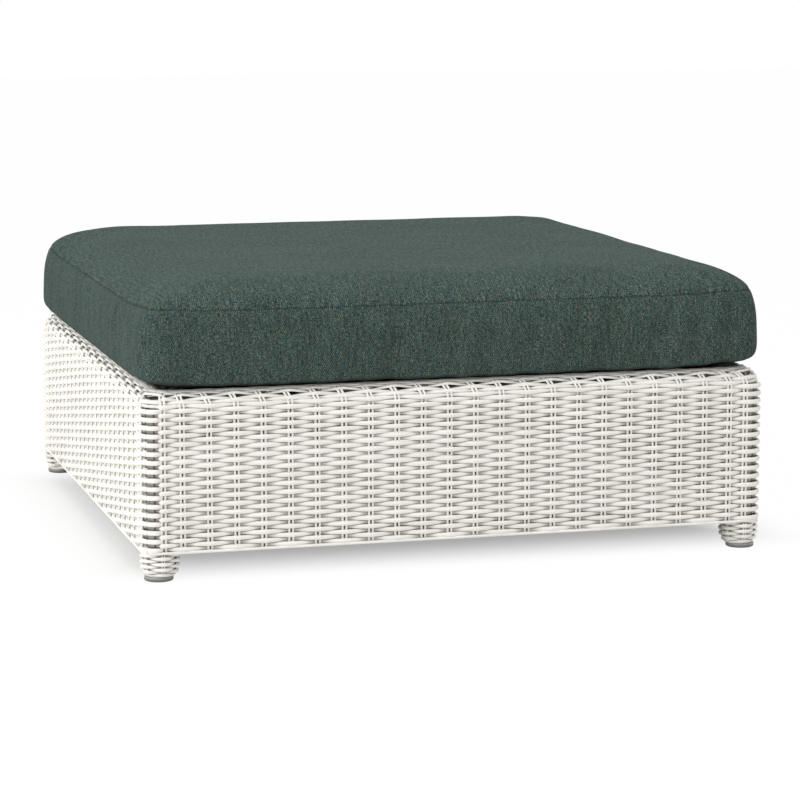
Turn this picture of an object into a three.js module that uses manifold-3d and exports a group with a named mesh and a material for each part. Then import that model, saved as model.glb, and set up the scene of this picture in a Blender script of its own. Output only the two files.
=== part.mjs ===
// Outdoor ottoman footstool: a square base of woven resin strands over a tube frame, on four
// wrapped feet, with a loose boxed cushion. Millimetres, +Z up, origin on the floor at the centre.
// Front is -Y. The cushion is a sewn cover with a zip at the back and a foam insert.

import * as THREE from 'three'
import { mergeVertices } from 'three/addons/utils/BufferGeometryUtils.js'
import Module from 'manifold-3d'

const wasm = await Module()
wasm.setup()

// Driving sizes of the whole
const baseWidth = 914
const baseDepth = 914
const rimHeight = 256
const floorClearance = 38
const cornerRadius = 30
const fitGap = 0.3
const cutOverrun = 5
const roundSides = 14

// Weave: stakes stand upright, weavers run round the base in front of and behind them by turns
const weaveThickness = 8.5
const weaveRelief = 1.5
const stakeSpans = 21
const endStakeInset = 24
const weaverRows = 33
const rimRadius = 15
const rimRows = 3
const bandWidth = 62
const bandRows = 4
const bandCornerRadius = 5

// Tube frame behind the weave
const railSize = 20
const railWall = 1.6
const legDiameter = 28
const legWall = 2
const bottomRailRise = 6

// Feet and glides
const glideDiameter = 39.6
const glideHeight = 6.5
const glideEdge = 1.2
const stemLength = 20
const stemCoreShare = 0.82
const stemRibs = 1
const footTopDiameter = 55
const footEndDiameter = 41
const footWraps = 5
const footWrapRelief = 1.1
const footBarrelPower = 4.5

// Webbing under the cushion
const strapCount = 4
const strapWidth = 50
const strapThickness = 2
const strapTab = 14

// Cushion
const cushionInset = 5
const cushionCornerRadius = 40
const cushionTopCornerRadius = 12
const seamRise = 12.2
const seamTuck = 7
const boxingHeight = 104.8
const crownHeight = 38.5
const crownFlatPower = 12
const crownEdgePower = 1.5
const upperCornerLift = 7
const lowerCornerLift = 11
const sideDraw = 4
const boxingBulge = 5.5
const coverThickness = 1.4
const contactInset = 68
const rollInset = 27
const rollRise = 6.7
const rollLiftShare = 0.75

// Zip along the middle of the back boxing
const zipLength = 600
const zipTapeWidth = 28
const zipTapeThickness = 1.2
const zipSlit = 3
const coilWidth = 5
const coilHeight = 2.4
const sliderLength = 14
const sliderWidth = 10
const sliderPlate = 1.2
const bridgeLength = 8
const bridgeHeight = 4
const bridgeWidth = 2.6
const bridgeBar = 1.3
const pullLength = 26
const pullWidth = 8
const pullThickness = 1.4
const pullEye = 3.4

// Places worked out from the sizes
const halfWidth = baseWidth / 2 - weaveRelief
const halfDepth = baseDepth / 2 - weaveRelief
const meanTop = rimHeight - weaveRelief
const wallTop = meanTop - rimRadius
const rowPitch = (wallTop - floorClearance) / weaverRows
const frameTop = meanTop - weaveThickness - fitGap
const railInset = weaveThickness + fitGap + railSize / 2
const railCorner = rimRadius - weaveThickness - fitGap
const legNest = (cornerRadius - weaveThickness - fitGap - legDiameter / 2) / Math.SQRT2
const legX = halfWidth - cornerRadius + legNest
const legY = halfDepth - cornerRadius + legNest
const bandEnd = rimRadius + bandWidth
const deckRailInset = bandEnd - railSize / 2
const cushionBottom = rimHeight + fitGap
const lowerSeam = cushionBottom + seamRise
const upperSeam = lowerSeam + boxingHeight
const zipHeight = lowerSeam + boxingHeight / 2
const zipFace = baseDepth / 2 - cushionInset - sideDraw + boxingBulge

const group = new THREE.Group()

const finishes = {
  wicker: { color: 0xe9e4d8, roughness: 0.5, metalness: 0 },
  frame: { color: 0xb9b6ac, roughness: 0.45, metalness: 0.6 },
  glide: { color: 0x6f706e, roughness: 0.6, metalness: 0 },
  webbing: { color: 0x2b2c2c, roughness: 0.85, metalness: 0 },
  fabric: { color: 0x26413f, roughness: 0.95, metalness: 0 },
  foam: { color: 0xe6dfb8, roughness: 0.95, metalness: 0 },
  zip: { color: 0x1d2525, roughness: 0.5, metalness: 0 },
  metal: { color: 0x8d8f90, roughness: 0.3, metalness: 1 },
}

// Adds one named piece to the object
function addPiece(name, geometry, finish) {
  const mesh = new THREE.Mesh(geometry, new THREE.MeshStandardMaterial(finishes[finish]))
  mesh.name = name
  group.add(mesh)
  return mesh
}

// Keeps only the positions of a geometry and shares its vertices
function welded(geometry) {
  const bare = geometry.index ? geometry.toNonIndexed() : geometry.clone()
  bare.deleteAttribute('normal')
  bare.deleteAttribute('uv')
  return mergeVertices(bare)
}

// Turns a closed geometry into a solid for cutting and joining
function solidOf(geometry) {
  const merged = welded(geometry)
  const vertProperties = new Float32Array(merged.attributes.position.array)
  const triVerts = new Uint32Array(merged.index.array)
  return new wasm.Manifold(new wasm.Mesh({ numProp: 3, vertProperties, triVerts }))
}

// Turns a solid back into a geometry
function geometryOf(solid) {
  const mesh = solid.getMesh()
  const geometry = new THREE.BufferGeometry()
  geometry.setAttribute('position', new THREE.BufferAttribute(mesh.vertProperties, 3))
  geometry.setIndex(new THREE.BufferAttribute(mesh.triVerts, 1))
  return geometry
}

// Builds a geometry from points and triangles and turns its faces outward
function closedGeometry(points, triangles) {
  let volume = 0
  for (const [a, b, c] of triangles) {
    const cross = new THREE.Vector3().crossVectors(points[b], points[c])
    volume += points[a].dot(cross)
  }
  const faces = volume < 0 ? triangles.map(([a, b, c]) => [a, c, b]) : triangles
  const geometry = new THREE.BufferGeometry()
  const places = points.flatMap((point) => point.toArray())
  geometry.setAttribute('position', new THREE.Float32BufferAttribute(places, 3))
  geometry.setIndex(faces.flat())
  return geometry
}

// Joins a stack of rings with as many points each, closed by a fan at both ends
function loftedGeometry(rings, firstCentre, lastCentre) {
  const count = rings[0].length
  const points = [...rings.flat(), firstCentre, lastCentre]
  const triangles = []
  const first = points.length - 2
  const last = points.length - 1
  const top = (rings.length - 1) * count
  for (let side = 0; side < count; side++) {
    const next = (side + 1) % count
    for (let ring = 0; ring < rings.length - 1; ring++) {
      const low = ring * count
      const high = low + count
      triangles.push([low + side, low + next, high + next])
      triangles.push([low + side, high + next, high + side])
    }
    triangles.push([first, next, side])
    triangles.push([last, top + side, top + next])
  }
  return closedGeometry(points, triangles)
}

// A side of the base: which way it faces, and the half lengths along and across it
const sides = {
  front: { turn: 0, half: halfWidth, reach: halfDepth },
  right: { turn: 1, half: halfDepth, reach: halfWidth },
  back: { turn: 2, half: halfWidth, reach: halfDepth },
  left: { turn: 3, half: halfDepth, reach: halfWidth },
}
const quarterTurn = Math.PI / 2

// A place on a side, given along it from its middle, inward from its mean face, and up
function placeOn(side, along, inset, height) {
  const place = new THREE.Vector3(along, inset - side.reach, height)
  return place.applyAxisAngle(new THREE.Vector3(0, 0, 1), side.turn * quarterTurn)
}

// Radius of the base's rounded corner at an inset from the mean face
function cornerRadiusAt(inset) {
  return Math.max(cornerRadius - inset, bandCornerRadius)
}

// The columns of one side's weave from corner to corner, each a share of the straight run or of
// the corner: a stake where the corner begins, a column halfway round, and the corner's own stake.
// A column on a stake has a phase, and the one between two stakes has none.
function stakeColumns(side) {
  const straight = side.half - cornerRadius
  const endShare = (straight - endStakeInset) / straight
  const columns = []
  for (let stake = 0; stake <= stakeSpans; stake++) {
    const straightShare = endShare * ((2 * stake) / stakeSpans - 1)
    columns.push({ end: 0, straightShare, cornerShare: 0, phase: stake + side.turn })
  }
  const cornerPlaces = [[0, 1], [1 / 2, null], [1, 2]]
  for (const [cornerShare, step] of cornerPlaces) {
    const before = step && side.turn - step
    const after = step && side.turn + stakeSpans + step
    columns.unshift({ end: -1, straightShare: -1, cornerShare, phase: before })
    columns.push({ end: 1, straightShare: 1, cornerShare, phase: after })
  }
  return columns
}

// A place on the weave: a column, an inset, a push out of the face, and a height
function placeInWeave(side, column, inset, push, height) {
  const radius = cornerRadiusAt(inset)
  const straight = side.half - inset - radius
  if (column.end === 0) return placeOn(side, column.straightShare * straight, inset - push, height)
  const angle = (column.cornerShare * Math.PI) / 4
  const seamGap = column.cornerShare === 1 ? fitGap / 2 : 0
  const reach = radius + push
  const along = straight + reach * Math.sin(angle) - seamGap * Math.cos(angle)
  const inward = inset + radius - reach * Math.cos(angle) - seamGap * Math.sin(angle)
  return placeOn(side, column.end * along, inward, height)
}

// Closes a woven face with a plain face behind it, row by row and column by column.
// The face has many rows, the back has few, and both have the same columns.
function wovenGeometry(columns, faceRows, backRows, facePlace, backPlace) {
  const points = []
  const triangles = []
  const face = []
  const back = []
  for (let row = 0; row < faceRows; row++) {
    face.push(columns.map((column) => points.push(facePlace(column, row)) - 1))
  }
  for (let row = 0; row < backRows; row++) {
    back.push(columns.map((column) => points.push(backPlace(column, row)) - 1))
  }
  const last = columns.length - 1
  const sheet = (grid, flipped) => {
    for (let row = 0; row < grid.length - 1; row++) {
      for (let index = 0; index < last; index++) {
        const [a, b] = [grid[row][index], grid[row][index + 1]]
        const [c, d] = [grid[row + 1][index + 1], grid[row + 1][index]]
        if (flipped) triangles.push([a, c, b], [a, d, c])
        else triangles.push([a, b, c], [a, c, d])
      }
    }
  }
  const edge = (faceLine, backLine, flipped) => {
    for (let index = 0; index < last; index++) {
      const [a, b, c, d] = [faceLine[index], faceLine[index + 1], backLine[index + 1], backLine[index]]
      if (flipped) triangles.push([a, b, c], [a, c, d])
      else triangles.push([a, c, b], [a, d, c])
    }
  }
  // An end strip joins the many points of the face to the few of the back
  const end = (faceLine, backLine, flipped) => {
    let [near, far] = [0, 0]
    const [lastNear, lastFar] = [faceLine.length - 1, backLine.length - 1]
    while (near < lastNear || far < lastFar) {
      const stepNear = far === lastFar || (near < lastNear && (near + 1) * lastFar <= (far + 1) * lastNear)
      const corner = stepNear ? faceLine[near + 1] : backLine[far + 1]
      const triangle = [faceLine[near], corner, backLine[far]]
      triangles.push(flipped ? triangle.reverse() : triangle)
      if (stepNear) near++
      else far++
    }
  }
  sheet(face, false)
  sheet(back, true)
  edge(face[0], back[0], false)
  edge(face.at(-1), back.at(-1), true)
  end(face.map((line) => line[0]), back.map((line) => line[0]), false)
  end(face.map((line) => line[last]), back.map((line) => line[last]), true)
  return closedGeometry(points, triangles)
}

// Weavers pass a stake in front and behind by turns, row by row
function swing(column, row) {
  if (column.phase === null) return 0
  return (column.phase + row) % 2 === 0 ? weaveRelief : -weaveRelief
}

// One woven wall, from the lowest weaver to the foot of the rim
function wallGeometry(side) {
  const columns = stakeColumns(side)
  const top = wallTop - fitGap
  const rowHeight = (row) => Math.min(floorClearance + row * rowPitch, top)
  const facePlace = (column, row) => placeInWeave(side, column, 0, swing(column, row), rowHeight(row))
  const backPlace = (column, row) => placeInWeave(side, column, weaveThickness, 0, row ? top : floorClearance)
  return wovenGeometry(columns, weaverRows + 1, 2, facePlace, backPlace)
}

// The line over the rim: round its curve, then level across the band, pushed out of its face
function rimLine(depth, rows, levelRows, pushAt) {
  const radius = rimRadius - depth
  const line = []
  for (let row = 0; row <= rows; row++) {
    const angle = (row / rows) * quarterTurn
    const reach = radius + pushAt(row)
    line.push({ inset: rimRadius - reach * Math.cos(angle), height: wallTop + reach * Math.sin(angle) })
  }
  for (let row = 1; row <= levelRows; row++) {
    const inset = rimRadius + (bandWidth * row) / levelRows
    line.push({ inset, height: meanTop - depth + pushAt(rows + row) })
  }
  return line
}

// One side of the rim with the level woven band inside it
function rimGeometry(side) {
  const columns = stakeColumns(side)
  const faceRows = rimRows + bandRows + 1
  const pushOn = (column) => (row) => swing(column, row + weaverRows)
  const lines = new Map(columns.map((column) => [column, rimLine(0, rimRows, bandRows, pushOn(column))]))
  const backLine = rimLine(weaveThickness, rimRows, 1, () => 0)
  const facePlace = (column, row) => {
    const { inset, height } = lines.get(column)[row]
    return placeInWeave(side, column, inset, 0, height)
  }
  const backPlace = (column, row) => placeInWeave(side, column, backLine[row].inset, 0, backLine[row].height)
  return wovenGeometry(columns, faceRows, backLine.length, facePlace, backPlace)
}

// Outline of a square tube's section with rounded corners, and its bore
function railSection() {
  const half = railSize / 2
  const flat = half - railCorner
  const shape = new THREE.Shape()
  shape.absarc(flat, flat, railCorner, 0, quarterTurn)
  shape.absarc(-flat, flat, railCorner, quarterTurn, 2 * quarterTurn)
  shape.absarc(-flat, -flat, railCorner, 2 * quarterTurn, 3 * quarterTurn)
  shape.absarc(flat, -flat, railCorner, 3 * quarterTurn, 4 * quarterTurn)
  shape.closePath()
  const bore = new THREE.Path()
  const inner = half - railWall
  const cut = railCorner / 2
  bore.moveTo(inner, inner - cut)
  bore.lineTo(inner, cut - inner)
  bore.lineTo(inner - cut, -inner)
  bore.lineTo(cut - inner, -inner)
  bore.lineTo(-inner, cut - inner)
  bore.lineTo(-inner, inner - cut)
  bore.lineTo(cut - inner, inner)
  bore.lineTo(inner - cut, inner)
  bore.closePath()
  shape.holes.push(bore)
  return shape
}

// A square tube along X, centred on the origin
function railGeometry(length) {
  const options = { depth: length, bevelEnabled: false, curveSegments: 1 }
  const geometry = new THREE.ExtrudeGeometry(railSection(), options)
  geometry.translate(0, 0, -length / 2)
  geometry.rotateY(quarterTurn)
  return geometry
}

// The four corners of the base as signs of X and Y
const corners = {
  front_left: [-1, -1],
  front_right: [1, -1],
  back_left: [-1, 1],
  back_right: [1, 1],
}

// A round rod at each leg's place, as wide as the leg with its clearance
function legRods() {
  return Object.values(corners).map(([signX, signY]) => {
    const rod = new THREE.CylinderGeometry(
      legDiameter / 2 + fitGap,
      legDiameter / 2 + fitGap,
      rimHeight + cutOverrun,
      roundSides,
    )
    rod.rotateX(quarterTurn)
    rod.translate(signX * legX, signY * legY, rimHeight / 2)
    return solidOf(rod)
  })
}

// A rail behind one side, coped round the legs that it meets
function perimeterRail(side, height) {
  const geometry = railGeometry(2 * (side.half - cornerRadius))
  geometry.translate(0, railInset - side.reach, height)
  geometry.rotateZ(side.turn * quarterTurn)
  let rail = solidOf(geometry)
  for (const rod of legRods()) rail = rail.subtract(rod)
  return geometryOf(rail)
}

// The upright tube in the middle of a side, between its two rails
function middlePost(side) {
  const low = floorClearance + bottomRailRise + railSize + fitGap
  const high = frameTop - railSize - fitGap
  const geometry = railGeometry(high - low)
  geometry.rotateY(quarterTurn)
  geometry.translate(0, railInset - side.reach, (low + high) / 2)
  geometry.rotateZ(side.turn * quarterTurn)
  return welded(geometry)
}

// The inner rails that carry the woven band's edge and the webbing: two reach from the front
// rail to the back rail, and two lie between those
function deckRail(side) {
  const reachesRails = side.turn % 2 === 1
  const freeInset = reachesRails ? railInset + railSize / 2 : bandEnd
  const geometry = railGeometry(2 * (side.half - freeInset - fitGap))
  geometry.translate(0, deckRailInset - side.reach, frameTop - railSize / 2)
  geometry.rotateZ(side.turn * quarterTurn)
  return welded(geometry)
}

// A geometry turned from a closed profile about its own upright axis
function turned(profile) {
  const points = profile.map(([radius, height]) => new THREE.Vector2(radius, height))
  const geometry = new THREE.LatheGeometry(points, roundSides)
  geometry.rotateX(quarterTurn)
  return welded(geometry)
}

// Round leg tube, open at both ends, up to where the rim begins to curve over it
function legGeometry() {
  const outer = legDiameter / 2
  const bore = outer - legWall
  const foot = glideHeight + fitGap
  const profile = [[bore, foot], [outer, foot], [outer, wallTop], [bore, wallTop], [bore, foot]]
  return turned(profile)
}

// The wrapped foot round the leg: a barrel that draws in at the floor, ridged by its wraps
function footGeometry() {
  const bore = legDiameter / 2 + fitGap
  const foot = glideHeight + fitGap
  const top = floorClearance - fitGap
  const endRadius = footEndDiameter / 2 - footWrapRelief
  const topRadius = footTopDiameter / 2 - footWrapRelief
  const barrel = (share) => endRadius + (topRadius - endRadius) * (1 - (1 - share) ** footBarrelPower)
  const profile = [[bore, foot]]
  for (let wrap = 0; wrap < footWraps; wrap++) {
    const low = wrap / footWraps
    const middle = (wrap + 1 / 2) / footWraps
    profile.push([barrel(low), foot + (top - foot) * low])
    profile.push([barrel(middle) + footWrapRelief, foot + (top - foot) * middle])
  }
  profile.push([topRadius, top], [bore, top], [bore, foot])
  return turned(profile)
}

// Moulded glide: a round pad with a ribbed stem that is pushed into the leg tube
function glideGeometry() {
  const pad = glideDiameter / 2
  const ribRadius = legDiameter / 2 - legWall - fitGap
  const core = ribRadius * stemCoreShare
  const ribStep = stemLength / (2 * stemRibs + 1)
  const profile = [[0, 0], [pad - glideEdge, 0], [pad, glideEdge], [pad, glideHeight], [core, glideHeight]]
  for (let rib = 0; rib < stemRibs; rib++) {
    const low = glideHeight + ribStep * (2 * rib + 1)
    profile.push([core, low], [ribRadius, low], [ribRadius, low + ribStep / 2], [core, low + ribStep])
  }
  profile.push([core, glideHeight + stemLength], [0, glideHeight + stemLength])
  return turned(profile)
}

// Side view of one webbing strap that passes over and under the straps it crosses,
// with both ends folded down against the deck rails
function strapGeometry(openHalf, crossHalf, firstSwing) {
  const half = openHalf - fitGap
  const step = (2 * crossHalf) / (strapCount + 1)
  const level = frameTop - strapThickness
  const swingHeight = (strapThickness + fitGap) / 2
  const flatHalf = strapWidth / 2 + fitGap * 2
  const line = [[-half + strapThickness, level]]
  for (let crossing = 1; crossing <= strapCount; crossing++) {
    const place = crossing * step - crossHalf
    const height = level + firstSwing * (crossing % 2 ? swingHeight : -swingHeight)
    line.push([place - flatHalf, height], [place + flatHalf, height])
  }
  line.push([half - strapThickness, level])
  const under = line.map(([along, height]) => [along, height - strapThickness / 2])
  const over = line.slice(1, -1).map(([along, height]) => [along, height + strapThickness / 2])
  const tabEnd = level - strapTab
  const topLevel = level + strapThickness / 2
  const outline = [
    [-half, tabEnd], [-half + strapThickness, tabEnd], ...under,
    [half - strapThickness, tabEnd], [half, tabEnd], [half, topLevel],
    ...over.reverse(), [-half, topLevel],
  ]
  const shape = new THREE.Shape(outline.map(([along, height]) => new THREE.Vector2(along, height)))
  const geometry = new THREE.ExtrudeGeometry(shape, { depth: strapWidth, bevelEnabled: false })
  geometry.translate(0, 0, -strapWidth / 2)
  geometry.rotateX(quarterTurn)
  return welded(geometry)
}

// Places along one side of the cushion's outline as shares of its straight run, and the steps
// round its corner. The side is straight along the zip and swings out to the corners past it.
const cushionCornerShares = [0, 1 / 3, 2 / 3, 1]
const pastZipShares = [0, 0.45, 0.8]
function cushionSideShares(side) {
  const straight = side.half + weaveRelief - cushionInset - cushionCornerRadius
  const flatShare = zipLength / 2 / straight
  const outer = pastZipShares.map((share) => flatShare + (1 - flatShare) * share)
  return [...outer.map((share) => -share).reverse(), 0, ...outer].map((share) => {
    const past = Math.max(0, Math.abs(share) - flatShare) / (1 - flatShare)
    return { share, pull: 1 - past ** 2 }
  })
}

// One ring of the cushion at an inset from its outline, drawn in along the sides
function cushionRing(inset, height, draw, lift) {
  const radius = Math.max(cushionCornerRadius - inset, cushionTopCornerRadius)
  const toOutline = cushionInset - weaveRelief + inset
  const ring = []
  for (const side of Object.values(sides)) {
    const straight = side.half - toOutline - radius
    for (const { share, pull } of cushionSideShares(side)) {
      ring.push(placeOn(side, straight * share, toOutline + draw * pull, height + lift * (1 - pull)))
    }
    for (const share of cushionCornerShares) {
      const angle = share * quarterTurn
      const along = straight + radius * Math.sin(angle)
      ring.push(placeOn(side, along, toOutline + radius * (1 - Math.cos(angle)), height + lift))
    }
  }
  return ring
}

// How far the crown stands over the seam at a place: nothing at the sides, most in the middle
function crownRise(place, depth) {
  const [halfX, halfY] = [baseWidth / 2 - cushionInset - depth, baseDepth / 2 - cushionInset - depth]
  const alongX = Math.min(1, Math.abs(place.x) / halfX)
  const alongY = Math.min(1, Math.abs(place.y) / halfY)
  return crownHeight * ((1 - alongX ** crownFlatPower) * (1 - alongY ** crownFlatPower)) ** crownEdgePower
}

// The boxed cushion's solid at a depth below its cover's face: flat under with its corners
// curling up, a lower seam tucked in, bulged boxing, and a crown that rises from the upper seam
const crownRingShares = [0.03, 0.07, 0.13, 0.23, 0.55]
const bulgeShares = [[0.11, 0.55], [0.5, 1], [0.77, 0.72]]
const edgeFadePower = 3

function cushionGeometry(depth) {
  const outerHalf = Math.min(baseWidth, baseDepth) / 2 - cushionInset
  const rings = [
    cushionRing(contactInset + depth, cushionBottom + depth, 0, 0),
    cushionRing(rollInset + depth, cushionBottom + rollRise + depth, 0, lowerCornerLift * rollLiftShare),
    cushionRing(seamTuck + depth, lowerSeam + depth, sideDraw, lowerCornerLift),
  ]
  for (const [heightShare, bulgeShare] of bulgeShares) {
    const height = lowerSeam + depth + (boxingHeight - 2 * depth) * heightShare
    const lift = lowerCornerLift + (upperCornerLift - lowerCornerLift) * heightShare
    rings.push(cushionRing(depth - boxingBulge * bulgeShare, height, sideDraw, lift))
  }
  rings.push(cushionRing(depth, upperSeam - depth, sideDraw, upperCornerLift))
  for (const share of crownRingShares) {
    const stay = (1 - share) ** edgeFadePower
    const [draw, lift] = [sideDraw * stay, upperCornerLift * stay]
    const ring = cushionRing(depth + outerHalf * share, upperSeam - depth, draw, lift)
    for (const place of ring) place.z += crownRise(place, depth)
    rings.push(ring)
  }
  const under = new THREE.Vector3(0, 0, cushionBottom + depth)
  const crown = new THREE.Vector3(0, 0, upperSeam + crownHeight - depth)
  return loftedGeometry(rings, under, crown)
}

// A block between two corners
function block(low, high) {
  const size = high.map((value, axis) => value - low[axis])
  const geometry = new THREE.BoxGeometry(...size)
  geometry.translate(...low.map((value, axis) => value + size[axis] / 2))
  return geometry
}

// The sewn cover: a skin round the foam, open at the zip
function coverGeometry() {
  const slitHalf = zipLength / 2 - zipTapeWidth / 2
  const slit = block(
    [-slitHalf, zipFace - coverThickness - cutOverrun, zipHeight - zipSlit / 2],
    [slitHalf, zipFace + cutOverrun, zipHeight + zipSlit / 2],
  )
  const skin = solidOf(cushionGeometry(0)).subtract(solidOf(cushionGeometry(coverThickness)))
  return geometryOf(skin.subtract(solidOf(slit)))
}

// The zip's tape, with its coil as a ridge along the middle
const tapeFace = zipFace + fitGap
const coilFace = tapeFace + zipTapeThickness + fitGap

function tapeGeometry() {
  const low = [-zipLength / 2, tapeFace, zipHeight - zipTapeWidth / 2]
  const high = [zipLength / 2, tapeFace + zipTapeThickness, zipHeight + zipTapeWidth / 2]
  return welded(block(low, high))
}

// The coil's rounded section run along the zip
function coilGeometry() {
  const half = coilWidth / 2
  const shoulder = half / 2
  const shape = new THREE.Shape()
  shape.moveTo(-half, 0)
  shape.lineTo(half, 0)
  shape.lineTo(half, coilHeight / 2)
  shape.lineTo(shoulder, coilHeight)
  shape.lineTo(-shoulder, coilHeight)
  shape.lineTo(-half, coilHeight / 2)
  shape.closePath()
  const length = zipLength - zipTapeWidth
  const geometry = new THREE.ExtrudeGeometry(shape, { depth: length, bevelEnabled: false })
  geometry.translate(0, 0, -length / 2)
  geometry.rotateY(quarterTurn)
  geometry.translate(0, coilFace, zipHeight)
  return welded(geometry)
}

// The slider straddles the coil: a plate, two flanges and the bridge that holds the pull
const sliderX = zipLength / 2 - zipTapeWidth - sliderLength / 2
const plateFace = coilFace + coilHeight + fitGap
const bridgeFace = plateFace + sliderPlate

function sliderGeometry() {
  const [left, right] = [sliderX - sliderLength / 2, sliderX + sliderLength / 2]
  const [low, high] = [zipHeight - sliderWidth / 2, zipHeight + sliderWidth / 2]
  const channel = coilWidth / 2 + fitGap
  const body = solidOf(block([left, tapeFace + zipTapeThickness + fitGap, low], [right, bridgeFace, high]))
  const groove = block(
    [left - cutOverrun, coilFace - cutOverrun, zipHeight - channel],
    [right + cutOverrun, plateFace, zipHeight + channel],
  )
  const barLow = zipHeight - bridgeWidth / 2
  const barHigh = zipHeight + bridgeWidth / 2
  const [bridgeLeft, bridgeRight] = [sliderX - bridgeLength / 2, sliderX + bridgeLength / 2]
  const sunk = bridgeFace - sliderPlate / 2
  const arch = solidOf(block([bridgeLeft, sunk, barLow], [bridgeRight, bridgeFace + bridgeHeight, barHigh]))
  const eye = block(
    [bridgeLeft + bridgeBar, bridgeFace, barLow - cutOverrun],
    [bridgeRight - bridgeBar, bridgeFace + bridgeHeight - bridgeBar, barHigh + cutOverrun],
  )
  return geometryOf(body.subtract(solidOf(groove)).add(arch.subtract(solidOf(eye))))
}

// The pull tab hangs in the bridge by a crossbar and lies along the zip
const pullAxisY = bridgeFace + (bridgeHeight - bridgeBar) / 2
function pullGeometry() {
  const eyeRoom = bridgeWidth / 2 + fitGap * 2
  const thinHalf = pullThickness / 2
  const start = sliderX - pullThickness / 2
  const eyeEnd = sliderX - bridgeLength / 2 - pullEye
  const end = sliderX - pullLength
  const [low, high] = [zipHeight - pullWidth / 2, zipHeight + pullWidth / 2]
  const nearEnd = start + pullThickness
  const tab = solidOf(block([end, pullAxisY - thinHalf, low], [nearEnd, pullAxisY + thinHalf, high]))
  const hole = block(
    [eyeEnd, pullAxisY - cutOverrun, zipHeight - eyeRoom],
    [start, pullAxisY + cutOverrun, zipHeight + eyeRoom],
  )
  return geometryOf(tab.subtract(solidOf(hole)))
}

// Tube frame
for (const [name, [signX, signY]] of Object.entries(corners)) {
  const place = [signX * legX, signY * legY, 0]
  addPiece(`leg_tube_${name}`, legGeometry(), 'frame').position.set(...place)
  addPiece(`foot_wrap_${name}`, footGeometry(), 'wicker').position.set(...place)
  addPiece(`glide_${name}`, glideGeometry(), 'glide').position.set(...place)
}
for (const [name, side] of Object.entries(sides)) {
  const bottomHeight = floorClearance + bottomRailRise + railSize / 2
  addPiece(`top_rail_${name}`, perimeterRail(side, frameTop - railSize / 2), 'frame')
  addPiece(`bottom_rail_${name}`, perimeterRail(side, bottomHeight), 'frame')
  addPiece(`middle_post_${name}`, middlePost(side), 'frame')
  addPiece(`deck_rail_${name}`, deckRail(side), 'frame')
}

// Woven skin
for (const [name, side] of Object.entries(sides)) {
  addPiece(`woven_wall_${name}`, wallGeometry(side), 'wicker')
  addPiece(`woven_rim_${name}`, rimGeometry(side), 'wicker')
}

// Webbing straps across and along the deck opening
const openWidth = halfWidth - bandEnd
const openDepth = halfDepth - bandEnd
for (let strap = 1; strap <= strapCount; strap++) {
  const swingFirst = strap % 2 ? 1 : -1
  const acrossStep = (2 * openDepth) / (strapCount + 1)
  const alongStep = (2 * openWidth) / (strapCount + 1)
  const across = addPiece(`strap_across_${strap}`, strapGeometry(openWidth, openWidth, swingFirst), 'webbing')
  across.position.y = strap * acrossStep - openDepth
  const along = addPiece(`strap_along_${strap}`, strapGeometry(openDepth, openDepth, -swingFirst), 'webbing')
  along.rotation.z = quarterTurn
  along.position.x = strap * alongStep - openWidth
}

// Cushion and its zip
addPiece('cushion_cover', coverGeometry(), 'fabric')
addPiece('cushion_foam', cushionGeometry(coverThickness + fitGap), 'foam')
addPiece('zip_tape', tapeGeometry(), 'zip')
addPiece('zip_coil', coilGeometry(), 'zip')
addPiece('zip_slider', sliderGeometry(), 'metal')
addPiece('zip_pull', pullGeometry(), 'metal')

export default group
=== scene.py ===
# %% [markdown]
# A square outdoor footstool: a woven resin base on four wrapped feet, and a loose boxed
# cushion that zips at the back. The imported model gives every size, so its box is kept first,
# and each piece below is made in metres in that model's own frame.

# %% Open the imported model
import math
import random

import bmesh
import bpy
from mathutils import Matrix, Vector
from mathutils import noise as wander


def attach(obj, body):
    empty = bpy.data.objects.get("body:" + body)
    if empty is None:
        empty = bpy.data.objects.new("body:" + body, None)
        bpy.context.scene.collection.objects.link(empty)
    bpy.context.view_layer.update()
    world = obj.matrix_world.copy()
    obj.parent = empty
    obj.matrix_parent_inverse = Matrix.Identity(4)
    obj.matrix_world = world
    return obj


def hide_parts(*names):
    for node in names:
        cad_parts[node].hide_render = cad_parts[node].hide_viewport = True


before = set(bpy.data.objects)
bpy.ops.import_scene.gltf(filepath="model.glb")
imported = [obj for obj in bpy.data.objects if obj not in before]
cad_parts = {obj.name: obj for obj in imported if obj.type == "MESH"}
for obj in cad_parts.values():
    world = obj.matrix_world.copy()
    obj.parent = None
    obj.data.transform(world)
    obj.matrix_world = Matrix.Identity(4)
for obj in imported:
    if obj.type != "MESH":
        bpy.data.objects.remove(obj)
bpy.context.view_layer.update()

# %% [markdown]
# The base is a square with rounded corners. Its weave stands on stakes that are counted along
# each side: stake 0 to 21 on the straight run, one where each corner begins, and one halfway
# round the corner. Every woven piece asks the same helper where a stake is, so walls, rims and
# feet line up without any measuring by eye.

# %% Sizes of the base and places on it
half_base = 0.4555
base_corner = 0.024
band_corner = 0.005
floor_clearance = 0.038
wall_top = 0.2395
rim_radius = 0.015
band_end = 0.077
last_stake = 21
end_stake = 0.4015
stake_shift = 0.0012
leg_place = 0.430591
foot_place = 0.4285
end_corner = 0.4285
rim_corner = 0.016
corner_start = half_base - base_corner
sides = {"front": 0, "right": 1, "back": 2, "left": 3}


def stake_place(stake):
    """How far along its side a stake stands, from the middle of the side."""
    if stake < 0:
        return stake_shift - end_stake + stake * (end_corner - end_stake + stake_shift)
    if stake > last_stake:
        return stake_shift + end_stake + (stake - last_stake) * (end_corner - end_stake - stake_shift)
    return end_stake * (2 * stake / last_stake - 1) + stake_shift


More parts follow.
